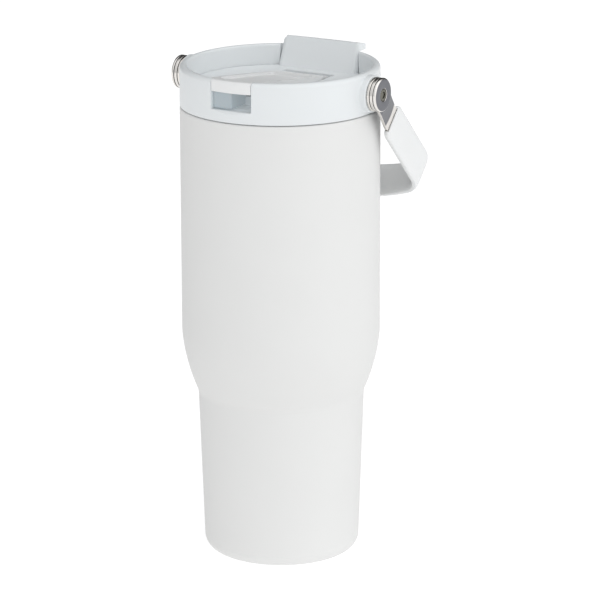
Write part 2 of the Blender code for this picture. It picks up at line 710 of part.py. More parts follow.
def grip_edge(inset, steps):
    """Half of the grip's outline, from its end down to the crown, as (x, distance from pivot)."""
    arch_centre = GRIP_REACH - GRIP_ARCH_R
    corner_x = GRIP_OUTER_X - GRIP_CORNER_R
    span = GRIP_ARCH_R - GRIP_CORNER_R
    corner_l = arch_centre + math.sqrt(span ** 2 - corner_x ** 2)
    meet = math.degrees(math.atan2(corner_l - arch_centre, corner_x))
    edge = [(GRIP_OUTER_X - inset, GRIP_START)]
    edge += arc((corner_x, corner_l), GRIP_CORNER_R - inset, 0, meet, steps)
    edge += arc((0.0, arch_centre), GRIP_ARCH_R - inset, meet, 90, 3)[1:]
    return edge


def handle_grip(pivot):
    outer = grip_edge(0.0, 7)
    inner = grip_edge(GRIP_WALL, 7)
    right_to_left = outer + [(-x, l) for x, l in outer[-2::-1]]
    back_again = [(-x, l) for x, l in inner] + [(x, l) for x, l in inner[-2::-1]]
    outline = [(x, down_from_pivot(l)) for x, l in right_to_left + back_again]
    mesh = extruded_mesh("handle_grip", outline, -GRIP_WIDTH / 2, GRIP_WIDTH / 2, along_y)
    grip = add_part("handle_grip", mesh, LID_PLASTIC)
    rounded_edges(grip, 0.0009, 2, 60)
    for side, word in SIDE_NAMES:
        middle = GRIP_OUTER_X - GRIP_WALL / 2
        reach = STRAP_WALL / 2 + GAP
        ends = sorted((side * (middle - reach), side * (middle + reach)))
        slot = box_tool(
            f"strap_slot_{word}", (ends[0], -TONGUE_HALF_WIDTH - GAP, down_from_pivot(TONGUE_TIP + GAP)),
            (ends[1], TONGUE_HALF_WIDTH + GAP, down_from_pivot(GRIP_START - 0.0050)),
        )
        combine(grip, slot, "DIFFERENCE")
    hang_tools(grip, pivot)
    return hang_on(grip, pivot)


def handle(pivot):
    for side, word in SIDE_NAMES:
        strap(side, word, pivot)
    handle_grip(pivot)
    pivot.rotation_euler = (HANDLE_REST, 0.0, 0.0)


clear_scene()
PARTS = new_collection("insulated_tumbler")
TOOLS = new_collection("cutters")

COATED_STEEL = principled("powder_coat", (0.80, 0.79, 0.77), 0.55)
BARE_STEEL = principled("brushed_steel", (0.62, 0.61, 0.60), 0.28, 1.0)
GETTER_METAL = principled("getter_metal", (0.30, 0.30, 0.31), 0.60, 1.0)
LID_PLASTIC = principled("lid_plastic", (0.80, 0.83, 0.85), 0.42)
WHITE_SILICONE = principled("white_silicone", (0.74, 0.77, 0.79), 0.60)
GREY_SILICONE = principled("grey_silicone", (0.55, 0.57, 0.59), 0.65)
CLEAR_PLASTIC = principled("straw_plastic", (0.86, 0.88, 0.90), 0.25)
BRASS = principled("brass", (0.72, 0.55, 0.26), 0.35, 1.0)

outer_shell()
inner_liner()
base_plate()
getter_pellet()

lid_body()
lid_gasket()
lid_deck()
vent_valve()
barrel_seal()
straw_socket()
straw()
hinge_pins()
for side_sign, side_word in SIDE_NAMES:
    pivot_stack(side_sign, side_word)

lever_hinge = add_empty("lever_hinge", (0.0, HINGE_Y, HINGE_Z))
flip_lever(lever_hinge)
mouthpiece(lever_hinge)

handle_pivot = add_empty("handle_pivot", (0.0, 0.0, PIVOT_Z))
handle(handle_pivot)
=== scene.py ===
import json
import math

import bmesh
import bpy
from mathutils import Matrix, Vector


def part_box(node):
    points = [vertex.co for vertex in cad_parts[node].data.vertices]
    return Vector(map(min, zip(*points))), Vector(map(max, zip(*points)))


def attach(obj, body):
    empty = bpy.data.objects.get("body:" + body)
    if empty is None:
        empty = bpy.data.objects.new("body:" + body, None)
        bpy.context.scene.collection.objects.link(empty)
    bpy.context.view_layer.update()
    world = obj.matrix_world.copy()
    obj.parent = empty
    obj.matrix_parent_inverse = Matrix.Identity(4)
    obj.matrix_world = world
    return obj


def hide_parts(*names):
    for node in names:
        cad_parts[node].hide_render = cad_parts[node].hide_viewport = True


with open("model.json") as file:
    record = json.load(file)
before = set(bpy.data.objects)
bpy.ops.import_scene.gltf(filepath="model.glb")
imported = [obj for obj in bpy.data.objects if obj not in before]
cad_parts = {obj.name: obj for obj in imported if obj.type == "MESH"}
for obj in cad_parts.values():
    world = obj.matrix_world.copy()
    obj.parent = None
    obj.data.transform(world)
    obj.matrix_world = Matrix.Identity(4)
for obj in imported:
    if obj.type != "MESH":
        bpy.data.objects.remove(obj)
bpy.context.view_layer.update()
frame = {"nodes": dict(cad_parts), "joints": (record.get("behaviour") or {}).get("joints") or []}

MM = 0.001

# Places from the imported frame
JOINTS = {joint["name"]: joint for joint in frame["joints"]}
PIVOT = Vector(JOINTS["handle_swing"]["pos_m"])
HINGE = Vector(JOINTS["straw_flip"]["pos_m"])
BODY_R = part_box("outer_shell")[1].x
SEAM_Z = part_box("outer_shell")[1].z
RIM_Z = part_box("lid_body")[1].z
COLLAR_FOOT_Z = SEAM_Z + 0.4 * MM
BOSS_FACE_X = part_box("lid_body")[1].x
SKIRT_FOOT_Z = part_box("lid_body")[0].z
DECK_FOOT_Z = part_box("lid_deck")[0].z
GASKET_LOW, GASKET_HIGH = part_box("lid_gasket")
STRAW_LOW, STRAW_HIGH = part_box("straw")
SOCKET_LOW, SOCKET_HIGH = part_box("straw_socket")
SPOUT_LOW, SPOUT_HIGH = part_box("mouthpiece")
SPOUT_X = (SPOUT_LOW.x + SPOUT_HIGH.x) / 2
BACKREST_TOP_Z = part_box("lid_deck")[1].z
BACKREST_OUTER_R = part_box("lid_deck")[1].y
STRAP_OUTER_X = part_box("strap_right")[1].x
CAP_FACE_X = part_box("pivot_cap_right")[1].x
SCREW_FACE_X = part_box("pivot_screw_right")[1].x
SCREW_TIP_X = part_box("pivot_screw_right")[0].x
GRIP_OUTER_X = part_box("handle_grip")[1].x

# Sizes shared with the design
SHOULDER_Z = 105.5 * MM
BASE_CORNER_R = 6.3 * MM
BASE_OPENING_R = 28.0 * MM
SHELL_WALL = 1.0 * MM
LINER_WALL = 0.8 * MM
VACUUM_STEP = 3.8 * MM
GAP = 0.3 * MM
COLLAR_WALL = 3.4 * MM
SHELF_Z = COLLAR_FOOT_Z + 2.6 * MM
SKIRT_R = 38.4 * MM
SKIRT_WALL = 2.4 * MM
THREAD_CREST_R = 39.4 * MM
LID_FLOOR_Z = 202.6 * MM
LID_FLOOR_WALL = 2.0 * MM
GROOVE_R = 37.0 * MM
NOTCH_HALF_WIDTH = 10.2 * MM
NOTCH_FLOOR_Z = RIM_Z - 13.4 * MM
DECK_Z = RIM_Z - 9.5 * MM
DECK_R = BODY_R - COLLAR_WALL - GAP
CHAMBER_BACK_Y = -29.5 * MM
CHANNEL_HALF_WIDTH = 12.9 * MM
CHANNEL_FLOOR_Z = 211.6 * MM
PIT_FRONT_Y = 8.0 * MM
PIT_BACK_Y = 27.5 * MM
PIT_FLOOR_Z = 204.8 * MM
BACKREST_Y = 33.0 * MM
BACKREST_LEAN = math.radians(23.7)
BACKREST_HALF_WIDTH = 20.2 * MM
BACKREST_BACK_Z = RIM_Z + 2.0 * MM
SEAT_Y = 38.5 * MM        # the collar is relieved up to here for the backrest's corners
BARREL_R = 5.5 * MM
LEVER_FRONT_Y = -41.0 * MM
LEVER_HALF_WIDTH = 12.5 * MM
LEVER_THICKNESS = 5.2 * MM
LEVER_SLOPE = math.radians(8.0)
VENT_Y = -16.0 * MM
BOSS_R = 8.3 * MM
WASHER_R = 7.65 * MM
WASHER_WALL = 1.2 * MM
STRAP_WALL = 1.4 * MM
STRAP_END_R = 7.6 * MM
STRAP_BEND = 7.8 * MM
STRAP_SETTLE = 17.5 * MM
TONGUE_HALF_WIDTH = 6.0 * MM
TONGUE_TIP = 40.0 * MM
CAP_WALL = 1.4 * MM
CAP_RECESS = 1.0 * MM
SCREW_R = 1.6 * MM
SCREW_HEAD_R = 2.7 * MM
GRIP_WALL = 3.4 * MM
GRIP_WIDTH = 16.9 * MM
GRIP_START = 20.3 * MM
GRIP_REACH = 80.5 * MM
GRIP_CORNER_R = 14.2 * MM
GRIP_ARCH_R = 95.7 * MM
HANDLE_REST = math.radians(45)
TO_HANDLE = Matrix.Translation(PIVOT) @ Matrix.Rotation(HANDLE_REST, 4, "X")

# The bends below the shoulder, as (radius, last heading in degrees, steps)
SHOULDER_BENDS = ((40.0 * MM, 6.84, 2), (87.0 * MM, 22.84, 6), (-10.0 * MM, 2.0, 4))
SKY = 240.0 * MM          # above everything, where cutters that are open at the top end
UNDER_LEVER = 200.0 * MM  # below the lever and the deck, where cutters from above end
OUTSIDE = 60.0 * MM       # beyond the collar and the pivots, where cutters end

FINE = 256                # facets of the large turned pieces
MEDIUM = 96               # of the small ones and of a turn of the thread
COARSE = 48               # of drilled holes
SIDE_NAMES = ((1, "right"), (-1, "left"))

# Light and camera
CAMERA_AZIMUTH = math.radians(29.5)
LEFT_LIGHT, RIGHT_LIGHT, BACK_LIGHT, ZENITH_LIGHT = 0.65, 1.42, 0.04, 1.20
FLOOR_GLOW = 0.83


# Mesh helpers

def show(mesh, name):
    piece = bpy.data.objects.new(name, mesh)
    bpy.context.scene.collection.objects.link(piece)
    return piece


def smooth(piece, degrees):
    piece.data.shade_smooth()
    piece.data.set_sharp_from_angle(angle=math.radians(degrees))
    return piece


def settle(piece):
    """Applies the piece's modifiers to its mesh."""
    bpy.context.view_layer.update()
    shown = piece.evaluated_get(bpy.context.evaluated_depsgraph_get())
    mesh = bpy.data.meshes.new_from_object(shown)
    piece.modifiers.clear()
    piece.data = mesh
    return piece


def merge(piece, tool, operation):
    step = piece.modifiers.new("merge", "BOOLEAN")
    step.operation = operation
    step.solver = "EXACT"
    step.object = tool
    settle(piece)
    bpy.data.objects.remove(tool, do_unlink=True)
    return piece


def cut(piece, tool):
    return merge(piece, tool, "DIFFERENCE")


def rounded(piece, width, degrees):
    step = piece.modifiers.new("rounded", "BEVEL")
    step.width = width
    step.segments = 3
    step.limit_method = "ANGLE"
    step.angle_limit = math.radians(degrees)
    step.use_clamp_overlap = True
    return settle(piece)


def even_normals(piece, degrees):
    """Smooth shading in which the large faces stay flat."""
    smooth(piece, degrees)
    step = piece.modifiers.new("normals", "WEIGHTED_NORMAL")
    step.keep_sharp = True
    return settle(piece)


def arc(centre, radius, first, last, steps):
    turns = [math.radians(first + (last - first) * i / steps) for i in range(steps + 1)]
    return [(centre[0] + radius * math.cos(a), centre[1] + radius * math.sin(a)) for a in turns]


def filleted(points, radius, steps, closed=False):
    """A polyline with each corner replaced by an arc, or a smaller one where the runs are short."""
    made = []
    count = len(points)
    for i, point in enumerate(points):
        here = Vector(point)
        if not closed and i in (0, count - 1):
            made.append(tuple(here))
            continue
        before, after = Vector(points[i - 1]), Vector(points[(i + 1) % count])
        back, ahead = before - here, after - here
        angle = back.angle(ahead)
        if angle > math.radians(178):
            made.append(tuple(here))
            continue
        reach = min(radius / math.tan(angle / 2), 0.45 * back.length, 0.45 * ahead.length)
        start, end = here + back.normalized() * reach, here + ahead.normalized() * reach
        bend = reach * math.tan(angle / 2)
        middle = here + (back.normalized() + ahead.normalized()).normalized() * (
            bend / math.sin(angle / 2)
        )
        first, last = start - middle, end - middle
        sweep = first.angle_signed(last) if len(first) == 2 else 0.0
        base = math.atan2(first.y, first.x)
        for k in range(steps + 1):
            turned_by = base - sweep * k / steps
            made.append((middle.x + bend * math.cos(turned_by), middle.y + bend * math.sin(turned_by)))
    return made


def turned_mesh(name, profile, closed, sides):
    """A solid turned about Z from (radius, height) points that run down its outside."""
    verts, rings = [], []
    for r, z in profile:
        if r < 1e-7:
            rings.append([len(verts)])
            verts.append((0.0, 0.0, z))
            continue
        rings.append(list(range(len(verts), len(verts) + sides)))
        for j in range(sides):
            angle = 2 * math.pi * j / sides
            verts.append((r * math.cos(angle), r * math.sin(angle), z))
    faces = []
    pairs = list(zip(rings, rings[1:]))
    if closed:
        pairs.append((rings[-1], rings[0]))
    for upper, lower in pairs:
        for j in range(sides):
            k = (j + 1) % sides
            corners = [upper[j % len(upper)], lower[j % len(lower)],
                       lower[k % len(lower)], upper[k % len(upper)]]
            face = list(dict.fromkeys(corners))
            if len(face) > 2:
                faces.append(face)
    mesh = bpy.data.meshes.new(name)
    mesh.from_pydata(verts, [], faces)
    return mesh


def turned(name, profile, closed=True, sides=FINE, degrees=32):
    return smooth(show(turned_mesh(name, profile, closed, sides), name), degrees)


def turned_on_pivot(name, profile, side, sides, closed=True):
    """A piece turned about the handle's pivot; the profile's heights are distances from the middle."""
    mesh = turned_mesh(name, profile, closed, sides)
    lie_down = Matrix.Rotation(side * math.pi / 2, 4, "Y")
    mesh.transform(Matrix.Translation((0.0, PIVOT.y, PIVOT.z)) @ lie_down)
    return smooth(show(mesh, name), 32)


def block(name, low, high, radius=0.0):
    work = bmesh.new()
    bmesh.ops.create_cube(work, size=1.0)
    bmesh.ops.scale(work, vec=[b - a for a, b in zip(low, high)], verts=work.verts)
    bmesh.ops.translate(work, vec=[(a + b) / 2 for a, b in zip(low, high)], verts=work.verts)
    if radius:
        bmesh.ops.bevel(
            work, geom=list(work.edges), offset=radius, segments=3, profile=0.5, affect="EDGES"
        )
    return show(closed_mesh(name, work), name)


def closed_mesh(name, work):
    bmesh.ops.recalc_face_normals(work, faces=work.faces)
    mesh = bpy.data.meshes.new(name)
    work.to_mesh(mesh)
    work.free()
    return mesh


def rod(name, radius, low, high, sides):
    """A rod between two points that differ along X or along Z."""
    low, high = Vector(low), Vector(high)
    work = bmesh.new()
    bmesh.ops.create_cone(
        work, cap_ends=True, segments=sides, depth=(high - low).length, radius1=radius, radius2=radius
    )
    if low.x != high.x:
        bmesh.ops.rotate(work, matrix=Matrix.Rotation(math.pi / 2, 3, "Y"), verts=work.verts)
    bmesh.ops.translate(work, vec=(low + high) / 2, verts=work.verts)
    return show(closed_mesh(name, work), name)


def drill(piece, radius, low, high, sides=COARSE):
    return cut(piece, rod("bore", radius, low, high, sides))


def prism(name, outline, start, end, place):
    work = bmesh.new()
    face = work.faces.new([work.verts.new(place(u, v, start)) for u, v in outline])
    risen = bmesh.ops.extrude_face_region(work, geom=[face])
    top = [item for item in risen["geom"] if isinstance(item, bmesh.types.BMVert)]
    bmesh.ops.translate(work, vec=place(0.0, 0.0, end - start), verts=top)
    return show(closed_mesh(name, work), name)


def along_x(u, v, depth):
    return depth, u, v


def along_y(u, v, depth):
    return u, depth, v


def along_z(u, v, depth):
    return u, v, depth


def swept(name, loops):
    """A solid through closed loops with equal numbers of points, with flat ends."""
    size = len(loops[0])
    verts = [point for loop in loops for point in loop]
    faces = []
    for i in range(len(loops) - 1):
        for j in range(size):
            k = (j + 1) % size
            faces.append((i * size + j, i * size + k, (i + 1) * size + k, (i + 1) * size + j))
    last = (len(loops) - 1) * size
    faces.append(tuple(range(size))[::-1])
    faces.append(tuple(last + j for j in range(size)))
    work = bmesh.new()
    mesh = bpy.data.meshes.new(name)
    mesh.from_pydata(verts, [], faces)
    work.from_mesh(mesh)
    return show(closed_mesh(name, work), name)


def on_handle(x, across, along):
    """A point of the handle at rest: along is the distance from the pivot, across the width."""
    y = across * math.cos(HANDLE_REST) + along * math.sin(HANDLE_REST)
    z = across * math.sin(HANDLE_REST) - along * math.cos(HANDLE_REST)
    return x, PIVOT.y + y, PIVOT.z + z


# Material helpers

class Nodes:
    """Short calls that add nodes to a tree."""

    def __init__(self, tree):
        self.tree = tree

    def fill(self, node, inputs):
        """Links or sets a node's inputs."""
        for key, value in inputs.items():
            if isinstance(value, bpy.types.NodeSocket):
                self.tree.links.new(value, node.inputs[key])
            else:
                node.inputs[key].default_value = value

    def add(self, kind, inputs, output, **settings):
        """Adds a node and returns one of its outputs."""
        made = self.tree.nodes.new(kind)
        for key, value in settings.items():
            setattr(made, key, value)
        self.fill(made, inputs)
        return made.outputs[output]

    def remap(self, value, from_low, from_high, low, high, kind="LINEAR"):
        inputs = {"From Min": from_low, "From Max": from_high, "To Min": low, "To Max": high}
        return self.add("ShaderNodeMapRange", {**inputs, "Value": value}, "Result", interpolation_type=kind)

    def between(self, factor, low, high):
        return self.remap(factor, 0.0, 1.0, low, high)

    def product(self, first, second):
        return self.add("ShaderNodeMath", {0: first, 1: second}, "Value", operation="MULTIPLY")

    def vectors(self, operation, inputs, output="Vector"):
        return self.add("ShaderNodeVectorMath", inputs, output, operation=operation)


class Shader(Nodes):
    """A Principled material."""

    def __init__(self, name):
        self.material = bpy.data.materials.new(name)
        self.material.use_nodes = True
        super().__init__(self.material.node_tree)
        self.place = self.add("ShaderNodeTexCoord", {}, "Object")

    def set(self, **inputs):
        """Links or sets inputs of the surface."""
        named = {key.replace("_", " "): value for key, value in inputs.items()}
        self.fill(self.tree.nodes["Principled BSDF"], named)

    def glow(self, colour, strength):
        if strength:
            self.set(Emission_Color=(*colour, 1.0), Emission_Strength=strength)

    def stretched(self, scale, source=None, rotation=(0.0, 0.0, 0.0)):
        inputs = {"Scale": scale, "Rotation": rotation, "Vector": source or self.place}
        return self.add("ShaderNodeMapping", inputs, "Vector")

    def noise(self, scale, detail, source=None, roughness=0.5):
        inputs = {"Scale": scale, "Detail": detail, "Roughness": roughness}
        return self.add("ShaderNodeTexNoise", {**inputs, "Vector": source or self.place}, "Fac")

    def mixed(self, factor, first, second):
        """A blend of two colours, from the first where the factor is 0 to the second where it is 1."""
        inputs = {"A": first, "B": second, "Factor": factor}
        return self.add("ShaderNodeMix", inputs, "Result", data_type="RGBA")

    def shades(self, factor, colour, dark, light):
        return self.mixed(factor, shade(colour, dark), shade(colour, light))

    def from_pivot(self):
        """Distance from the handle's pivot axis, and the vector (distance, x) for turning marks."""
        away = self.vectors("SUBTRACT", {0: self.place, 1: PIVOT})
        flat = self.vectors("MULTIPLY", {0: away, 1: (0.0, 1.0, 1.0)})
        reach = self.vectors("LENGTH", {0: flat}, "Value")
        x = self.add("ShaderNodeSeparateXYZ", {"Vector": self.place}, "X")
        return reach, self.add("ShaderNodeCombineXYZ", {"X": reach, "Y": x}, "Vector")

    def facing_sideways(self):
        """How far the surface faces along X, from 0 to 1, in the piece's own frame."""
        normal = self.add("ShaderNodeTexCoord", {}, "Normal")
        x = self.add("ShaderNodeSeparateXYZ", {"Vector": normal}, "X")
        return self.add("ShaderNodeMath", {0: x}, "Value", operation="ABSOLUTE")

    def bump(self, height, distance, strength, under=None):
        inputs = {"Height": height, "Distance": distance, "Strength": strength}
        if under is not None:
            inputs["Normal"] = under
        return self.add("ShaderNodeBump", inputs, "Normal")

    def rounding(self, radius):
        return self.add("ShaderNodeBevel", {"Radius": radius}, "Normal", samples=4)


def shade(colour, factor):
    return (*(min(1.0, part * factor) for part in colour), 1.0)


def powder_coat():
    """Baked powder: a fine pebble over a slow orange peel."""
    s = Shader("powder_coat_fine")
    peel = s.bump(s.noise(420.0, 1.0), 0.02 * MM, 0.5)
    s.set(
        Base_Color=s.shades(s.noise(45.0, 3.0), (0.712, 0.712, 0.704), 0.985, 1.012),
        Roughness=s.between(s.noise(900.0, 3.0), 0.50, 0.62),
        Normal=s.bump(s.noise(2600.0, 2.0), 0.03 * MM, 0.6, peel), Specular_IOR_Level=0.42,
    )
    return s.material


def moulded(name, colour, roughness, through=0.0):
    """Moulded plastic: satin spark texture, faint flow shade and softened edges.

    The last argument is a painted glow: emission that stands in for bounce light in shaded recesses.
    """
    s = Shader(name)
    s.set(
        Base_Color=s.shades(s.noise(60.0, 2.0), colour, 0.988, 1.01),
        Roughness=s.between(s.noise(700.0, 3.0), roughness - 0.05, roughness + 0.05),
        Normal=s.bump(s.noise(3200.0, 2.0), 0.02 * MM, 0.5, s.rounding(0.12 * MM)),
        Specular_IOR_Level=0.5, Subsurface_Weight=0.04, Subsurface_Scale=0.6 * MM,
        Subsurface_Radius=(1.0, 0.9, 0.8),
    )
    # Painted glow: emission that brightens the piece where shade falls.
    s.glow(colour, through)
    return s.material


def soft_silicone(name, colour, through=0.0):
    s = Shader(name)
    s.set(
        Base_Color=s.shades(s.noise(120.0, 2.0), colour, 0.97, 1.02),
        Roughness=s.between(s.noise(1500.0, 2.0), 0.52, 0.68),
        Normal=s.bump(s.noise(1900.0, 3.0), 0.02 * MM, 0.5, s.rounding(0.15 * MM)),
        Subsurface_Weight=0.15, Subsurface_Scale=1.0 * MM, Specular_IOR_Level=0.35,
    )
    # Painted glow: emission that brightens the piece where shade falls.
    s.glow(colour, through)
    return s.material


def brushed(name, colour, roughness, lines):
    """Brushed steel: fine scratches drawn out along the axis whose line scale is small."""
    s = Shader(name)
    scratch = s.noise(1.0, 4.0, s.stretched(lines), 0.6)
    grooves = s.bump(scratch, 0.006 * MM, 0.7, s.rounding(0.12 * MM))
    s.set(
        Base_Color=s.shades(scratch, colour, 0.86, 1.08),
        Roughness=s.between(scratch, roughness - 0.06, roughness + 0.10),
        Normal=s.bump(s.noise(90.0, 3.0), 0.01 * MM, 0.15, grooves), Metallic=1.0,
    )
    return s.material


def lathed(name, colour, roughness):
    """Steel turned about the handle's pivot: rings round that axis on the faces."""
    s = Shader(name)
    marks = s.noise(6500.0, 3.0, s.from_pivot()[1], 0.6)
    s.set(
        Base_Color=s.shades(marks, colour, 0.9, 1.05),
        Roughness=s.between(marks, roughness - 0.04, roughness + 0.08),
        Normal=s.bump(marks, 0.004 * MM, 0.6), Metallic=1.0,
    )
    return s.material


def reflection_painted_steel(name, face, edge, roughness, lines=None, bright_from=None):
    """Steel with a rougher face painted dark and smoother edges painted bright, a painted reflection; with
    turned rings, or scratches along the strap.

    Beyond the distance bright_from from the pivot, the face is painted bright like the edges too.
    """
    s = Shader(name)
    reach, rings = s.from_pivot()
    if lines is None:
        marks = s.noise(5200.0, 3.0, rings, 0.6)
    else:
        upright = s.stretched((1.0, 1.0, 1.0), rotation=(-HANDLE_REST, 0.0, 0.0))
        marks = s.noise(1.0, 4.0, s.stretched(lines, upright), 0.6)
    # Faces that look along the pivot get a painted dark reflection, the edges a painted bright one.
    on_face = s.remap(s.facing_sideways(), 0.80, 0.97, 0.0, 1.0, "SMOOTHSTEP")
    dark_face_reflection, bright_edge_reflection = s.shades(marks, face, 0.84, 1.12), s.shades(marks, edge, 0.94, 1.04)
    if bright_from is not None:
        beyond = s.remap(reach, bright_from, bright_from + 1.0 * MM, 0.0, 1.0, "SMOOTHSTEP")
        dark_face_reflection = s.mixed(beyond, dark_face_reflection, bright_edge_reflection)
    s.set(
        Base_Color=s.mixed(on_face, bright_edge_reflection, dark_face_reflection),
        Roughness=s.product(s.between(marks, roughness - 0.05, roughness + 0.08),
                            s.between(on_face, 0.5, 1.0)),
        Normal=s.bump(marks, 0.004 * MM, 0.6), Metallic=1.0,
    )
    return s.material


def straw_material():
    s = Shader("straw_clear")
    s.set(
        Base_Color=s.mixed(s.noise(80.0, 2.0), (0.86, 0.89, 0.91, 1.0), (0.91, 0.93, 0.95, 1.0)),
        Roughness=s.between(s.noise(300.0, 2.0), 0.14, 0.26),
        Normal=s.bump(s.noise(1.0, 2.0, s.stretched((900.0, 900.0, 25.0))), 0.01 * MM, 0.4),
        Transmission_Weight=0.55, IOR=1.47,
    )
    return s.material


def paint(piece, material):
    piece.data.materials.clear()
    piece.data.materials.append(material)
    return piece


def finish(piece, material, body, slot, *nodes):
    paint(piece, material)
    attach(piece, body)
    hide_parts(*nodes)
    return piece


# Body

def body_path(depth, arc_steps):
    """The wall from the seam to the base, set in from the outside by depth."""
    radius, height, heading = BODY_R, SHOULDER_Z, 0.0
    stations = [(BODY_R, SEAM_Z, 0.0), (radius, height, heading)]

    def bend(bend_radius, last_heading, steps):
        nonlocal radius, height, heading
        start = math.radians(heading)
        for i in range(1, steps + 1):
            now = start + (math.radians(last_heading) - start) * i / steps
            stations.append((
                radius + bend_radius * (math.cos(now) - math.cos(start)),
                height - bend_radius * (math.sin(now) - math.sin(start)),
                math.degrees(now),
            ))
        radius, height, heading = stations[-1]

    for bend_radius, last_heading, steps in SHOULDER_BENDS:
        bend(bend_radius, last_heading, steps * arc_steps)
    foot = BASE_CORNER_R * (1 - math.sin(math.radians(heading)))
    radius -= (height - foot) * math.tan(math.radians(heading))
    height = foot
    stations.append((radius, height, heading))
    bend(BASE_CORNER_R, 90.0, 4 * arc_steps)
    path = []
    for r, z, angle in stations:
        lean = math.radians(angle)
        path.append((r - depth * math.cos(lean), z + depth * math.sin(lean)))
    return path


def outer_shell():
    lip, edge, neck_r = 0.8 * MM, 0.3 * MM, 41.5 * MM
    top = [(neck_r, SEAM_Z)] + arc((BODY_R - lip, SEAM_Z - lip), lip, 90, 0, 6)
    outside = top + body_path(0.0, 4)[1:]
    outside += arc((BASE_OPENING_R + edge, edge), edge, 270, 180, 3)
    inside = [(neck_r, SEAM_Z - SHELL_WALL), (BODY_R - SHELL_WALL, SEAM_Z - SHELL_WALL)]
    inside += body_path(SHELL_WALL, 2)[1:] + [(BASE_OPENING_R, SHELL_WALL)]
    return turned("shell_fine", outside + inside[::-1], degrees=28)


def inner_liner():
    """The liner, with two rolled thread turns in its neck and a soft radius at the floor."""
    outside = body_path(VACUUM_STEP, 3)
    inside = body_path(VACUUM_STEP + LINER_WALL, 3)
    neck_r, lip_r, rise = inside[0][0], LINER_WALL / 2, 0.45 * MM
    bead = []
    for foot in (187.5, 192.5):
        for up, height in ((0.0, 0.0), (1.0, rise), (2.5, rise), (3.5, 0.0)):
            bead.append((neck_r - height, (foot + up) * MM))
    lip = arc((neck_r + lip_r, SEAM_Z - lip_r), lip_r, 180, 0, 8)
    profile = [(0.0, inside[-1][1])] + inside[:0:-1] + bead + lip
    profile += outside[1:] + [(0.0, outside[-1][1])]
    return turned("liner_fine", profile, closed=False, degrees=40)


def base_plate():
    radius, thickness = BASE_OPENING_R - GAP, 1.2 * MM
    groove, edge = 0.4 * MM, 0.3 * MM
    profile = [(0.0, thickness), (radius, thickness)]
    profile += arc((radius - edge, edge), edge, 0, -90, 4)
    profile += filleted(
        [(24.0 * MM, 0.0), (23.0 * MM, groove), (14.0 * MM, groove), (13.0 * MM, 0.0), (5.2 * MM, 0.0),
         (4.6 * MM, 0.25 * MM), (4.0 * MM, 0.0)], 0.8 * MM, 4
    )
    profile += [(0.0, 0.0)]
    return turned("base_plate_fine", profile, closed=False, sides=192)


# Lid

def thread(name, radius, foot_z, pitch, turns, height, half_width):
    """A helical ridge of trapezoid section whose ends run out into the skirt."""
    steps, run_out = int(turns * MEDIUM), 14
    loops = []
    for i in range(steps + 1):
        angle = 2 * math.pi * i / MEDIUM
        fade = min(1.0, i / run_out, (steps - i) / run_out)
        crest = radius + height * (0.02 + 0.98 * math.sin(fade * math.pi / 2))
        base = radius - 0.4 * MM
        z = foot_z + pitch * i / MEDIUM
        section = ((base, -half_width * 1.5), (crest, -half_width * 0.6),
                   (crest, half_width * 0.6), (base, half_width * 1.5))
        loops.append([(r * math.cos(angle), r * math.sin(angle), z + dz) for r, dz in section])
    return swept(name, loops)


def boss(side, word):
    """A pivot boss whose foot flares into the collar's round wall.

    The flare narrows where the collar's lip or foot leaves no wall to land on.
    """
    flare, edge, root, sink = 0.8 * MM, 0.5 * MM, 1.2 * MM, 0.02 * MM
    above, below = RIM_Z - 2.2 * MM - PIVOT.z, PIVOT.z - COLLAR_FOOT_Z - 0.8 * MM
    around, facets = [], 144
    for i in range(facets):
        angle = 2 * math.pi * i / facets
        room = (above if angle < math.pi else below) / max(1e-6, abs(math.sin(angle)))
        share = min(1.0, max(0.02, (room - BOSS_R) / flare))
        around.append((math.cos(angle), math.sin(angle), share))

    def ring(reach, lift, grow=0.0, rise=0.0, on_wall=True):
        made = []
        for cosine, sine, share in around:
            out = reach + grow * share
            wall_x = math.sqrt(BODY_R ** 2 - (out * cosine) ** 2) if on_wall else 0.0
            made.append((side * (wall_x + lift + rise * share), out * cosine, PIVOT.z + out * sine))
        return made

    top = arc((BOSS_R - edge, BOSS_FACE_X - edge), edge, 88, 0, 6)
    loops = [ring(reach, x, on_wall=False) for reach, x in top]
    for i in range(9):
        turn = math.radians(90 * i / 8)
        loops.append(ring(BOSS_R, -sink, flare * (1 - math.cos(turn)), flare * (1 - math.sin(turn))))
    loops += [ring(BOSS_R + flare, -root), ring(BOSS_R * 0.6, -root)]
    return smooth(swept(f"boss_{word}", loops), 40)


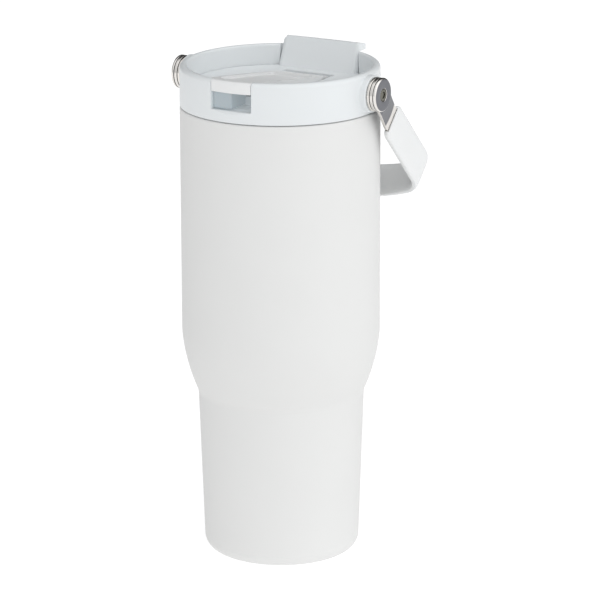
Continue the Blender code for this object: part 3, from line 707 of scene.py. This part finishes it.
def lid_body():
    inner_r = BODY_R - COLLAR_WALL
    skirt_in = SKIRT_R - SKIRT_WALL
    lip_in, lip_out, foot, skirt_foot = 1.0 * MM, 1.9 * MM, 0.4 * MM, 0.6 * MM
    groove_top, groove_foot = SEAM_Z - 1.2 * MM, SEAM_Z - 4.4 * MM
    floor_under = LID_FLOOR_Z - LID_FLOOR_WALL
    profile = [(0.0, LID_FLOOR_Z), (skirt_in, LID_FLOOR_Z), (skirt_in, SHELF_Z), (inner_r, SHELF_Z)]
    profile += arc((inner_r + lip_in, RIM_Z - lip_in), lip_in, 180, 90, 8)
    profile += arc((BODY_R - lip_out, RIM_Z - lip_out), lip_out, 90, 0, 12)
    profile += arc((BODY_R - foot, COLLAR_FOOT_Z + foot), foot, 0, -90, 4)
    profile += [
        (SKIRT_R, COLLAR_FOOT_Z), (SKIRT_R, groove_top), (GROOVE_R, groove_top),
        (GROOVE_R, groove_foot), (SKIRT_R, groove_foot),
    ]
    profile += arc((SKIRT_R - skirt_foot, SKIRT_FOOT_Z + skirt_foot), skirt_foot, 0, -90, 4)
    profile += [(skirt_in, SKIRT_FOOT_Z), (skirt_in, floor_under), (0.0, floor_under)]
    lid = turned("lid_body_fine", profile, closed=False)
    for side, word in SIDE_NAMES:
        merge(lid, boss(side, word), "UNION")
    ridge = thread("lid_thread_ridge", SKIRT_R, foot_z=190.6 * MM, pitch=4.5 * MM, turns=1.9,
                   height=THREAD_CREST_R - SKIRT_R, half_width=1.0 * MM)
    merge(lid, ridge, "UNION")
    notch = block(
        "notch_cut", (-NOTCH_HALF_WIDTH, -50.0 * MM, NOTCH_FLOOR_Z),
        (NOTCH_HALF_WIDTH, -36.0 * MM, SKY), 0.5 * MM,
    )
    cut(lid, notch)
    cut(lid, notch_scoop())
    seat_x = BACKREST_HALF_WIDTH + GAP
    seat = block("backrest_seat", (-seat_x, 30 * MM, DECK_Z - 1.2 * MM), (seat_x, SEAT_Y, SKY), 0.3 * MM)
    cut(lid, seat)
    for y, radius in ((HINGE.y, 4.5 * MM), (VENT_Y, 1.9 * MM)):
        drill(lid, radius, (0.0, y, 198.0 * MM), (0.0, y, 206.0 * MM))
    for side, _ in SIDE_NAMES:
        drill(lid, 3.5 * MM, (side * 44.0 * MM, 0.0, PIVOT.z), (side * OUTSIDE, 0.0, PIVOT.z))
    return smooth(lid, 30)


def notch_scoop():
    """A chamfer on the window's sill that runs out on the collar's face."""
    scoop = block(
        "scoop_cut", (-NOTCH_HALF_WIDTH + 0.3 * MM, -8.0 * MM, -6.0 * MM),
        (NOTCH_HALF_WIDTH - 0.3 * MM, 0.0, 6.0 * MM), 0.2 * MM,
    )
    lean = Matrix.Rotation(math.radians(-35), 4, "X")
    scoop.data.transform(Matrix.Translation((0.0, -44.2 * MM, NOTCH_FLOOR_Z)) @ lean)
    return scoop


def gasket():
    """A seal ring with two soft lips."""
    foot, top = GASKET_LOW.z, GASKET_HIGH.z
    inner, outer = GROOVE_R + GAP, GASKET_HIGH.x
    third, slope, waist = (top - foot) / 3, outer - 1.4 * MM, outer - 0.9 * MM
    lip = 0.35 * third
    outline = [
        (inner, top), (slope, top), (outer, top - lip), (waist, top - third),
        (waist, foot + third), (outer, foot + lip), (slope, foot), (inner, foot),
    ]
    return turned("gasket_fine", filleted(outline, 0.25 * MM, 3, closed=True), sides=192, degrees=60)


def lid_deck():
    """The insert: deck, lever channel, finger chamber, hinge pit and backrest."""
    rim_wall, plate, under, edge = 1.8 * MM, 1.8 * MM, 2.2 * MM, 0.5 * MM
    foot = SHELF_Z + GAP
    box_top = DECK_Z - 0.8 * MM
    profile = [(0.0, DECK_Z)] + arc((DECK_R - edge, DECK_Z - edge), edge, 90, 0, 4)
    profile += [(DECK_R, foot), (DECK_R - rim_wall, foot), (DECK_R - rim_wall, DECK_Z - plate),
                (0.0, DECK_Z - plate)]
    deck = turned("deck_fine", profile, closed=False)
    wide = CHANNEL_HALF_WIDTH + 2.0 * MM
    chamber, spout_room = 11.2 * MM, 4.0 * MM
    boxed = chamber + 1.5 * MM
    walls = (
        ((-boxed, -39.0 * MM, foot), (boxed, -27.5 * MM, box_top)),
        ((-wide, -30.0 * MM, CHANNEL_FLOOR_Z - 2.0 * MM), (wide, 10.0 * MM, box_top)),
        ((-wide, 6.0 * MM, DECK_FOOT_Z), (wide, 29.5 * MM, box_top)),
    )
    for low, high in walls:
        merge(deck, block("deck_wall", low, high), "UNION")
    reach = CHANNEL_HALF_WIDTH
    cuts = (
        ((-chamber, -44.0 * MM, foot + under), (chamber, CHAMBER_BACK_Y, SKY), 0.8 * MM),
        ((-reach, -26.5 * MM, CHANNEL_FLOOR_Z), (reach, PIT_BACK_Y, SKY), 0.8 * MM),
        ((SPOUT_X - spout_room, -31.0 * MM, foot + under), (SPOUT_X + spout_room, -25.0 * MM, SKY), 0.0),
        ((-reach, PIT_FRONT_Y, PIT_FLOOR_Z), (reach, PIT_BACK_Y, SKY - 1.0 * MM), 0.8 * MM),
    )
    for low, high, radius in cuts:
        cut(deck, block("deck_cut", low, high, radius))
    drill(deck, 3.4 * MM, (0.0, HINGE.y, 200.0 * MM), (0.0, HINGE.y, 208.0 * MM))
    drill(deck, 1.2 * MM, (0.0, VENT_Y, 206.0 * MM), (0.0, VENT_Y, 214.0 * MM))
    drill(deck, 1.9 * MM, (-20.0 * MM, *HINGE.yz), (20.0 * MM, *HINGE.yz))
    merge(deck, backrest(), "UNION")
    return even_normals(deck, 30)


def lighten(piece, material, low, high, turned_forward=-2.0):
    """Gives a piece's faces in a box the material with a painted glow, which brightens them where shade
    falls.

    Faces that look further to the front than turned_forward keep their own.
    """
    piece.data.materials.append(material)
    last = len(piece.data.materials) - 1
    for face in piece.data.polygons:
        inside = all(a < value < b for a, value, b in zip(low, face.center, high))
        if inside and face.normal.y > turned_forward:
            face.material_index = last


def backrest_face(z):
    return BACKREST_Y + (z - DECK_Z) * math.tan(BACKREST_LEAN)


def backrest():
    """The upright block at the back of the deck: its front leans back and its top hooks the rim.

    Its upper corners are round in front and sharp behind, and its back follows the collar.
    """
    half, low, hook_z = BACKREST_HALF_WIDTH, DECK_Z - 0.9 * MM, RIM_Z + GAP
    sharp, soft, sharp_from_y, fade = 0.4 * MM, 4.0 * MM, 44.5 * MM, 5.5 * MM
    start, end = backrest_face(low) - 1.0 * MM, BACKREST_OUTER_R + 1.0 * MM
    loops = []
    for i in range(25):
        y = start + (end - start) * i / 24
        corner = sharp + (soft - sharp) * min(1.0, max(0.0, (sharp_from_y - y) / fade))
        middle_x, middle_z = half - corner, BACKREST_TOP_Z - corner
        left = arc((-middle_x, middle_z), corner, 180, 90, 12)
        right = arc((middle_x, middle_z), corner, 90, 0, 12)
        loops.append([(x, y, z) for x, z in [(-half, low), *left, *right, (half, low)]])
    piece = swept("backrest_block", loops)
    side = [
        (backrest_face(low), low), (backrest_face(BACKREST_TOP_Z), BACKREST_TOP_Z),
        (BACKREST_OUTER_R, BACKREST_BACK_Z), (BACKREST_OUTER_R, low),
    ]
    merge(piece, prism("side_shape", side, -50 * MM, 50 * MM, along_x), "INTERSECT")
    inside = [(0.0, SKY), (BACKREST_OUTER_R, SKY), (BACKREST_OUTER_R, hook_z),
              (DECK_R - 0.2 * MM, hook_z), (DECK_R - 0.2 * MM, UNDER_LEVER), (0.0, UNDER_LEVER)]
    loops = []
    for z in (low - 1.0 * MM, SKY + 1.0 * MM):
        front, corner = backrest_face(z), 2.6 * MM
        plan = arc((-half + corner, front + corner), corner, 180, 270, 12)
        plan += arc((half - corner, front + corner), corner, 270, 360, 12)
        loops.append([(x, y, z) for x, y in [(-half, OUTSIDE), *plan, (half, OUTSIDE)]])
    merge(piece, swept("backrest_plan", loops), "INTERSECT")
    room = turned("backrest_room", inside, closed=False)
    merge(room, block("seat_room", (-BODY_R, 20 * MM, DECK_Z - 0.7 * MM),
                      (BODY_R, SEAT_Y - GAP, SKY - 1.0 * MM)), "UNION")
    merge(piece, room, "INTERSECT")
    return rounded(piece, 0.4 * MM, 40)


def port_tube(name, profile, soft):
    """A tube with soft edges, turned about the upright line through the lever's hinge."""
    piece = turned(name, filleted(profile, soft, 3, closed=True), sides=MEDIUM)
    piece.data.transform(Matrix.Translation((0.0, HINGE.y, 0.0)))
    return piece


def straw_socket():
    top, foot = SOCKET_HIGH.z, SOCKET_LOW.z
    under_floor = LID_FLOOR_Z - LID_FLOOR_WALL - GAP
    bore = STRAW_HIGH.x + GAP
    port_r, neck_r, flange_r, sleeve_r = 3.1 * MM, 4.2 * MM, 7.0 * MM, 5.3 * MM
    flange_foot, stop_z = under_floor - 1.3 * MM, 198.2 * MM
    profile = [
        (port_r, top), (neck_r, top), (neck_r, under_floor), (flange_r, under_floor),
        (flange_r, flange_foot), (sleeve_r, flange_foot), (sleeve_r, foot), (bore, foot),
        (bore, stop_z), (port_r, stop_z),
    ]
    return port_tube("straw_socket_fine", profile, 0.3 * MM)


def straw():
    """The straw, with a fine rim at each end."""
    radius, wall = STRAW_HIGH.x, 0.8 * MM
    top, foot = STRAW_HIGH.z, STRAW_LOW.z
    profile = [(radius - wall, top), (radius, top), (radius, foot), (radius - wall, foot)]
    return port_tube("straw_fine", profile, 0.25 * MM)


# Flip lever

def lever_top(y):
    return RIM_Z - max(0.0, y - LEVER_FRONT_Y) * math.tan(LEVER_SLOPE)


def sloped(name, half_width, y_range, above, below, centre_x=0.0):
    """A prism along the lever, between two depths under its upper face."""
    stations = [y_range[0], y_range[1]]
    if y_range[0] < LEVER_FRONT_Y < y_range[1]:
        stations.insert(1, LEVER_FRONT_Y)
    outline = [(y, lever_top(y) - above) for y in stations]
    outline += [(y, lever_top(y) - below) for y in reversed(stations)]
    return prism(name, outline, centre_x - half_width, centre_x + half_width, along_x)


def lever_tray():
    """The shallow tray in the lever's top, with an arched front and thin rims at its sides."""
    half, front, back, arch, corner = 11.2 * MM, -40.5 * MM, 12.5 * MM, 10.0 * MM, 1.5 * MM
    plan = arc((half - arch, front + arch), arch, 0, -90, 16)
    plan += arc((-half + arch, front + arch), arch, -90, -180, 16)
    plan += arc((-half + corner, back - corner), corner, 180, 90, 6)
    plan += arc((half - corner, back - corner), corner, 90, 0, 6)
    tray = prism("tray", plan, UNDER_LEVER, SKY, along_z)
    depths = sloped("tray_depth", 20 * MM, (-45 * MM, 20 * MM), -8.0 * MM, 1.2 * MM)
    return merge(tray, depths, "INTERSECT")


def lever_plate():
    """The lever's plate, whose front follows the collar's inside, with the nose in the notch."""
    inner_r = BODY_R - COLLAR_WALL - 0.5 * MM
    half = LEVER_HALF_WIDTH
    meet = math.degrees(math.acos(half / inner_r))
    plan = [(half, HINGE.y)] + arc((0.0, 0.0), inner_r, -meet, meet - 180, 24) + [(-half, HINGE.y)]
    plate = prism("lever_fine", plan, UNDER_LEVER, SKY, along_z)
    lip = 1.2 * MM
    top = RIM_Z + 0.05 * MM
    outline = [(0.0, top)] + arc((BODY_R - lip, top - lip), lip, 90, 0, 8)
    outline += [(BODY_R, UNDER_LEVER), (0.0, UNDER_LEVER)]
    nose = turned("nose", outline, closed=False)
    reach = NOTCH_HALF_WIDTH - GAP
    width = block("nose_width", (-reach, -OUTSIDE, 190 * MM), (reach, -36 * MM, SKY))
    merge(nose, width, "INTERSECT")
    merge(plate, nose, "UNION")
    depths = sloped("depths", 20 * MM, (-50 * MM, HINGE.y), 0.0, LEVER_THICKNESS)
    return merge(plate, depths, "INTERSECT")


def flip_lever():
    lever = lever_plate()
    half = LEVER_HALF_WIDTH
    merge(lever, rod("barrel", BARREL_R, (-half, *HINGE.yz), (half, *HINGE.yz), MEDIUM), "UNION")
    rib = sloped("rib", 3.4 * MM, (-28.5 * MM, HINGE.y), 2.0 * MM, 7.0 * MM, SPOUT_X)
    merge(lever, rib, "UNION")
    cut(lever, lever_tray())
    drill(lever, 3.0 * MM, (0.0, HINGE.y, HINGE.z - 10 * MM), (0.0, HINGE.y, HINGE.z))
    for side, _ in SIDE_NAMES:
        drill(lever, 1.9 * MM, (side * 8.2 * MM, *HINGE.yz), (side * 14.0 * MM, *HINGE.yz))
    rounded(lever, 0.3 * MM, 40)
    return even_normals(lever, 30)


def mouthpiece():
    """The soft spout block, with its drinking hole and a rounder edge at the window's side."""
    front, back, foot = SPOUT_LOW.y, SPOUT_HIGH.y, SPOUT_LOW.z
    left, right = SPOUT_LOW.x, SPOUT_HIGH.x
    soft, firm = 2.0 * MM, 0.8 * MM
    plan = arc((left + soft, front + soft), soft, 180, 270, 8)
    plan += arc((right - firm, front + firm), firm, 270, 360, 5)
    plan += arc((right - firm, back - firm), firm, 0, 90, 5)
    plan += arc((left + firm, back - firm), firm, 90, 180, 5)
    piece = prism("mouthpiece_fine", plan, foot, SKY, along_z)
    under = sloped("under_lever", 20 * MM, (-50 * MM, -20 * MM), LEVER_THICKNESS + GAP, 30 * MM)
    merge(piece, under, "INTERSECT")
    rounded(piece, 0.45 * MM, 50)
    hole_r, hole_y, hole_top = 2.0 * MM, -34.5 * MM, 224.5 * MM
    drill(piece, hole_r, (SPOUT_X, hole_y, foot - 2.0 * MM), (SPOUT_X, hole_y, hole_top))
    return even_normals(piece, 35)


# Handle

def grip_line(steps):
    """Half of the grip's middle line, from its end to the crown, as (x, distance, outward turn)."""
    arch_centre = GRIP_REACH - GRIP_ARCH_R
    corner_x = GRIP_OUTER_X - GRIP_CORNER_R
    span = GRIP_ARCH_R - GRIP_CORNER_R
    corner_l = arch_centre + math.sqrt(span ** 2 - corner_x ** 2)
    meet = math.degrees(math.atan2(corner_l - arch_centre, corner_x))
    inset = GRIP_WALL / 2
    end = 3.0 * MM
    arm = corner_l - GRIP_START
    line = []
    for i in range(13):
        along = GRIP_START + end * (1 - math.cos(math.pi / 2 * i / 12))
        line.append((GRIP_OUTER_X - inset, along, 0.0))
    for i in range(1, 8):
        line.append((GRIP_OUTER_X - inset, GRIP_START + end + (arm - end) * i / 8, 0.0))
    for x, along, radius, first, last, start, count in (
        (corner_x, corner_l, GRIP_CORNER_R, 0.0, meet, 0, steps),
        (0.0, arch_centre, GRIP_ARCH_R, meet, 90.0, 1, 12),
    ):
        reach = radius - inset
        for i in range(start, count + 1):
            turn = first + (last - first) * i / count
            angle = math.radians(turn)
            line.append((x + reach * math.cos(angle), along + reach * math.sin(angle), turn))
    return line


def grip_section(half_width, half_wall):
    """A flat band's section whose faces fall off softly to round edges, as (out, across)."""
    deep, wide = min(1.2 * MM, half_wall * 0.98), min(4.2 * MM, half_width * 0.98)
    points = []
    for side_out, side_across, first in ((1, 1, 0), (-1, 1, 90), (-1, -1, 180), (1, -1, 270)):
        centre = (side_out * (half_wall - deep), side_across * (half_width - wide))
        for x, y in arc((0.0, 0.0), 1.0, first, first + 90, 8):
            points.append((centre[0] + deep * x, centre[1] + wide * y))
    return points


def drawn_in(corner, from_end):
    """How far a corner of this radius draws the outline in, at a distance from its end."""
    return corner - math.sqrt(max(0.0, corner ** 2 - max(0.0, corner - from_end) ** 2))


def handle_grip():
    half = grip_line(24)
    line = [(x, along, turn, 1) for x, along, turn in half]
    line += [(-x, along, turn, -1) for x, along, turn in half[-2::-1]]
    loops = []
    for x, along, turn, side in line:
        from_end = along - GRIP_START
        narrower, thinner = drawn_in(2.6 * MM, from_end), drawn_in(1.1 * MM, from_end)
        section = grip_section(GRIP_WIDTH / 2 - narrower, GRIP_WALL / 2 - thinner * 0.9)
        lean = math.radians(turn)
        loop = []
        for out, across in section:
            loop.append(on_handle(
                side * (abs(x) + out * math.cos(lean)) if abs(x) > 1e-9 else 0.0,
                across, along + out * math.sin(lean),
            ))
        loops.append(loop)
    grip = swept("grip_fine", loops)
    for side, _ in SIDE_NAMES:
        middle = GRIP_OUTER_X - GRIP_WALL / 2
        reach = STRAP_WALL / 2 + 0.2 * MM
        low_x, high_x = sorted((side * (middle - reach), side * (middle + reach)))
        slot = block(
            "strap_slot", (low_x, -TONGUE_HALF_WIDTH - 0.2 * MM, -TONGUE_TIP - GAP),
            (high_x, TONGUE_HALF_WIDTH + 0.2 * MM, -GRIP_START + 5.0 * MM),
        )
        slot.data.transform(TO_HANDLE)
        cut(grip, slot)
    return smooth(grip, 40)


def ribbon(path, width):
    """The outline of a strip of constant width along a path."""
    outer, inner = [], []
    last = len(path) - 1
    for i, point in enumerate(path):
        here = Vector(point)
        ahead = Vector(path[min(i + 1, last)]) - here if i < last else here - Vector(path[i - 1])
        back = here - Vector(path[i - 1]) if i else ahead
        heading = (ahead.normalized() + back.normalized()).normalized()
        across = Vector((-heading.y, heading.x)) * width / 2
        outer.append(tuple(here + across))
        inner.append(tuple(here - across))
    return outer + inner[::-1]


def strap(side, word):
    """A bent steel strap: a round eye, straight sides and softened edges."""
    eye_x = STRAP_OUTER_X - STRAP_WALL / 2
    tongue_x = GRIP_OUTER_X - GRIP_WALL / 2
    path = filleted(
        [(eye_x, 9.0 * MM), (eye_x, -STRAP_BEND), (tongue_x, -STRAP_SETTLE), (tongue_x, -TONGUE_TIP)],
        2.0 * MM, 8,
    )
    section = [(side * x, z) for x, z in ribbon(path, STRAP_WALL)]
    half = STRAP_END_R + 1.0 * MM
    plate = prism(f"strap_{word}_fine", section, -half, half, along_y)
    neck = math.degrees(math.acos(TONGUE_HALF_WIDTH / STRAP_END_R))
    outline = arc((0.0, 0.0), STRAP_END_R, 180 + neck, -neck, 72)
    foot = TONGUE_TIP + 1.0 * MM
    outline += [(TONGUE_HALF_WIDTH, -foot), (-TONGUE_HALF_WIDTH, -foot)]
    low, high = sorted((side * 40.0 * MM, side * OUTSIDE))
    merge(plate, prism("strap_outline", outline, low, high, along_x), "INTERSECT")
    drill(plate, 2.2 * MM, (low, 0.0, 0.0), (high, 0.0, 0.0), 64)
    rounded(plate, 0.2 * MM, 50)
    plate.data.transform(TO_HANDLE)
    return even_normals(plate, 35)


def washer(name, side, near):
    """A steel ring with softened rims."""
    edge, bore = 0.3 * MM, 2.0 * MM
    far = near + WASHER_WALL
    profile = [(bore, far), (bore + 0.2 * MM, far)]
    profile += arc((WASHER_R - edge, far - edge), edge, 90, 0, 6)
    profile += arc((WASHER_R - edge, near + edge), edge, 0, -90, 6)
    profile += [(bore, near)]
    return turned_on_pivot(name, profile, side, sides=128)


def pivot_cap(side, word):
    """The round cap over the strap's eye, with a recess for the screw's head."""
    edge, bore, recess_r = 0.9 * MM, SCREW_R + GAP, SCREW_HEAD_R + GAP
    near, far = CAP_FACE_X - CAP_WALL, CAP_FACE_X
    floor = far - CAP_RECESS
    profile = [(bore, floor), (recess_r, floor)]
    profile += arc((recess_r + 0.2 * MM, far - 0.2 * MM), 0.2 * MM, 180, 90, 3)
    profile += arc((WASHER_R - edge, far - edge), edge, 90, 0, 6)
    profile += arc((WASHER_R - 0.2 * MM, near + 0.2 * MM), 0.2 * MM, 0, -90, 3)
    profile += [(bore, near)]
    return turned_on_pivot(f"cap_{word}_fine", profile, side, sides=128)


def pivot_screw(side, word):
    """A flat screw with a chamfered head and a hexagon socket."""
    socket_r, socket_depth = 1.7 * MM, 0.4 * MM
    under = CAP_FACE_X - CAP_RECESS + GAP
    tip, chamfer = SCREW_TIP_X, 0.15 * MM
    profile = [
        (0.0, SCREW_FACE_X), (SCREW_HEAD_R - chamfer, SCREW_FACE_X),
        (SCREW_HEAD_R, SCREW_FACE_X - chamfer), (SCREW_HEAD_R, under), (SCREW_R, under),
        (SCREW_R, tip + 0.4 * MM), (SCREW_R - 0.4 * MM, tip), (0.0, tip),
    ]
    screw = turned_on_pivot(f"screw_{word}_fine", profile, side, closed=False, sides=64)
    floor_x = side * (SCREW_FACE_X - socket_depth)
    drill(screw, socket_r, (floor_x, *PIVOT.yz), (side * OUTSIDE, *PIVOT.yz), 6)
    return smooth(screw, 30)


# Studio

def studio_floor():
    """A broad flat floor, lit from within so that it stays white."""
    outline = arc((0.0, 0.0), 12.0, 0, 360, 96)[:-1]
    mesh = bpy.data.meshes.new("studio_floor")
    mesh.from_pydata([(x, y, 0.0) for x, y in outline], [], [tuple(range(len(outline)))])
    floor = show(mesh, "studio_floor")
    s = Shader("studio_white")
    s.set(Base_Color=s.shades(s.noise(3.0, 2.0), (1.0, 1.0, 1.0), 0.30, 0.32))
    s.set(Roughness=0.9, Specular_IOR_Level=0.0)
    s.glow((1.0, 1.0, 1.0), FLOOR_GLOW)
    paint(floor, s.material)


def studio_light():
    """Soft light from all round: brightest at the right and overhead, dark behind."""
    world = bpy.data.worlds.new("studio")
    bpy.context.scene.world = world
    world.use_nodes = True
    nodes = Nodes(world.node_tree)
    towards = nodes.add("ShaderNodeTexCoord", {}, "Generated")
    right = (math.cos(CAMERA_AZIMUTH), math.sin(CAMERA_AZIMUTH), 0.0)
    front = (math.sin(CAMERA_AZIMUTH), -math.cos(CAMERA_AZIMUTH), 0.0)
    levels = []
    for direction, first, last, low, high in (
        (right, -1.0, 1.0, LEFT_LIGHT, RIGHT_LIGHT), (front, -0.55, -0.12, BACK_LIGHT, 1.0),
        ((0.0, 0.0, 1.0), 0.0, 1.0, 1.0, ZENITH_LIGHT),
    ):
        share = nodes.vectors("DOT_PRODUCT", {0: towards, 1: direction}, "Value")
        levels.append(nodes.remap(share, first, last, low, high))
    strength = nodes.product(nodes.product(levels[0], levels[1]), levels[2])
    nodes.fill(world.node_tree.nodes["Background"], {"Color": (0.985, 0.993, 1.0, 1.0), "Strength": strength})


def studio_camera():
    """A long lens, looking down a little, with the object left of the middle."""
    distance, height = 1657.5 * MM, 583.1 * MM
    pitch, yaw, roll = math.radians(15.71), math.radians(0.300), math.radians(-0.15)
    forward = Vector((math.sin(yaw) * math.cos(pitch), math.cos(yaw) * math.cos(pitch), -math.sin(pitch)))
    right = Vector((math.cos(yaw), -math.sin(yaw), 0.0))
    up = right.cross(forward)
    right, up = (right * math.cos(roll) + up * math.sin(roll),
                 up * math.cos(roll) - right * math.sin(roll))
    turn = Matrix.Rotation(CAMERA_AZIMUTH, 3, "Z")
    axes = Matrix((turn @ right, turn @ up, turn @ -forward)).transposed()
    data = bpy.data.cameras.new("camera")
    data.sensor_width = 36.0
    data.lens = 227.22
    data.clip_end = 60.0
    camera = bpy.data.objects.new("camera", data)
    bpy.context.scene.collection.objects.link(camera)
    camera.matrix_world = Matrix.Translation(turn @ Vector((0.0, -distance, height))) @ axes.to_4x4()
    bpy.context.scene.camera = camera


studio_camera()
studio_floor()
studio_light()
bpy.context.scene.view_settings.view_transform = "Standard"

COAT = powder_coat()
LID_WHITE = moulded("lid_white", (0.718, 0.742, 0.752), 0.42)
# A painted glow: slightly darker white that lights itself, for the shaded chamber, channel and window faces.
CHAMBER_WHITE = moulded("chamber_white", (0.70, 0.735, 0.75), 0.46, 0.14)
LEVER_WHITE = moulded("lever_white", (0.755, 0.76, 0.76), 0.42)
GRIP_WHITE = moulded("grip_white", (0.75, 0.758, 0.758), 0.46)
# The mouthpiece's dark grey colour and strong glow are painted shade and painted bounce light for its place
# in the shaded window.
SPOUT_WHITE = soft_silicone("spout_silicone", (0.235, 0.266, 0.284), 0.78)
SEAL_GREY = soft_silicone("seal_silicone", (0.55, 0.57, 0.59))
LINER_STEEL = brushed("liner_steel", (0.66, 0.65, 0.64), 0.26, (30.0, 30.0, 5200.0))
BASE_STEEL = brushed("base_steel", (0.62, 0.61, 0.60), 0.32, (4200.0, 30.0, 30.0))
# The dark faces against bright edges of the straps and caps are a painted reflection.
STRAP_STEEL = reflection_painted_steel("strap_steel_fine", (0.18, 0.183, 0.198), (0.78, 0.75, 0.72), 0.32,
                       (5200.0, 5200.0, 60.0), 16.9 * MM)
CAP_STEEL = reflection_painted_steel("cap_steel_fine", (0.175, 0.178, 0.195), (0.80, 0.77, 0.74), 0.34)
RING_STEEL = lathed("ring_steel", (0.80, 0.77, 0.73), 0.12)
SCREW_STEEL = lathed("screw_steel_fine", (0.15, 0.145, 0.12), 0.24)
BUSH_BRASS = lathed("bush_brass", (0.72, 0.54, 0.24), 0.26)
GETTER = brushed("getter_fine", (0.30, 0.30, 0.31), 0.55, (700.0, 700.0, 700.0))
STRAW_CLEAR = straw_material()

finish(outer_shell(), COAT, "tumbler", "powder_coat", "outer_shell")
finish(inner_liner(), LINER_STEEL, "tumbler", "bare_steel", "inner_liner")
finish(base_plate(), BASE_STEEL, "tumbler", "bare_steel", "base_plate")
collar = finish(lid_body(), LID_WHITE, "lid", "lid_plastic", "lid_body")
deck_insert = finish(lid_deck(), LID_WHITE, "lid", "lid_plastic", "lid_deck")
# The faces in the chamber, the channel and the window get the painted glow in place of bounce light.
lighten(deck_insert, CHAMBER_WHITE, (-13.2 * MM, -47 * MM, UNDER_LEVER),
        (13.2 * MM, 26 * MM, DECK_Z - 0.1 * MM))
lighten(collar, CHAMBER_WHITE,
        (-NOTCH_HALF_WIDTH - 0.1 * MM, -46 * MM, NOTCH_FLOOR_Z + 0.2 * MM),
        (NOTCH_HALF_WIDTH + 0.1 * MM, -41 * MM, SKY), turned_forward=-0.5)
finish(gasket(), SEAL_GREY, "lid_seal", "grey_silicone", "lid_gasket")
finish(straw_socket(), LID_WHITE, "lid", "lid_plastic", "straw_socket")
finish(straw(), STRAW_CLEAR, "lid", "straw_plastic", "straw")
finish(flip_lever(), LEVER_WHITE, "flip_straw", "lever_plastic", "flip_lever")
finish(mouthpiece(), SPOUT_WHITE, "flip_straw", "white_silicone", "mouthpiece")
finish(handle_grip(), GRIP_WHITE, "handle", "grip_plastic", "handle_grip")
for side_sign, side_word in SIDE_NAMES:
    finish(strap(side_sign, side_word), STRAP_STEEL, "handle", "strap_steel", f"strap_{side_word}")
    finish(washer(f"ring_{side_word}", side_sign, BOSS_FACE_X + GAP), RING_STEEL, "lid",
           "polished_steel", f"inner_washer_{side_word}")
    finish(pivot_cap(side_sign, side_word), CAP_STEEL, "lid", "cap_steel", f"pivot_cap_{side_word}")
    finish(pivot_screw(side_sign, side_word), SCREW_STEEL, "lid", "screw_steel",
           f"pivot_screw_{side_word}")

carried_over = {
    "getter_pellet": GETTER, "vent_valve": SEAL_GREY, "barrel_seal": SEAL_GREY,
    "hinge_pin_left": SCREW_STEEL, "hinge_pin_right": SCREW_STEEL,
    "pivot_bush_left": BUSH_BRASS, "pivot_bush_right": BUSH_BRASS,
}
for node_name, node_material in carried_over.items():
    smooth(paint(frame["nodes"][node_name], node_material), 35)
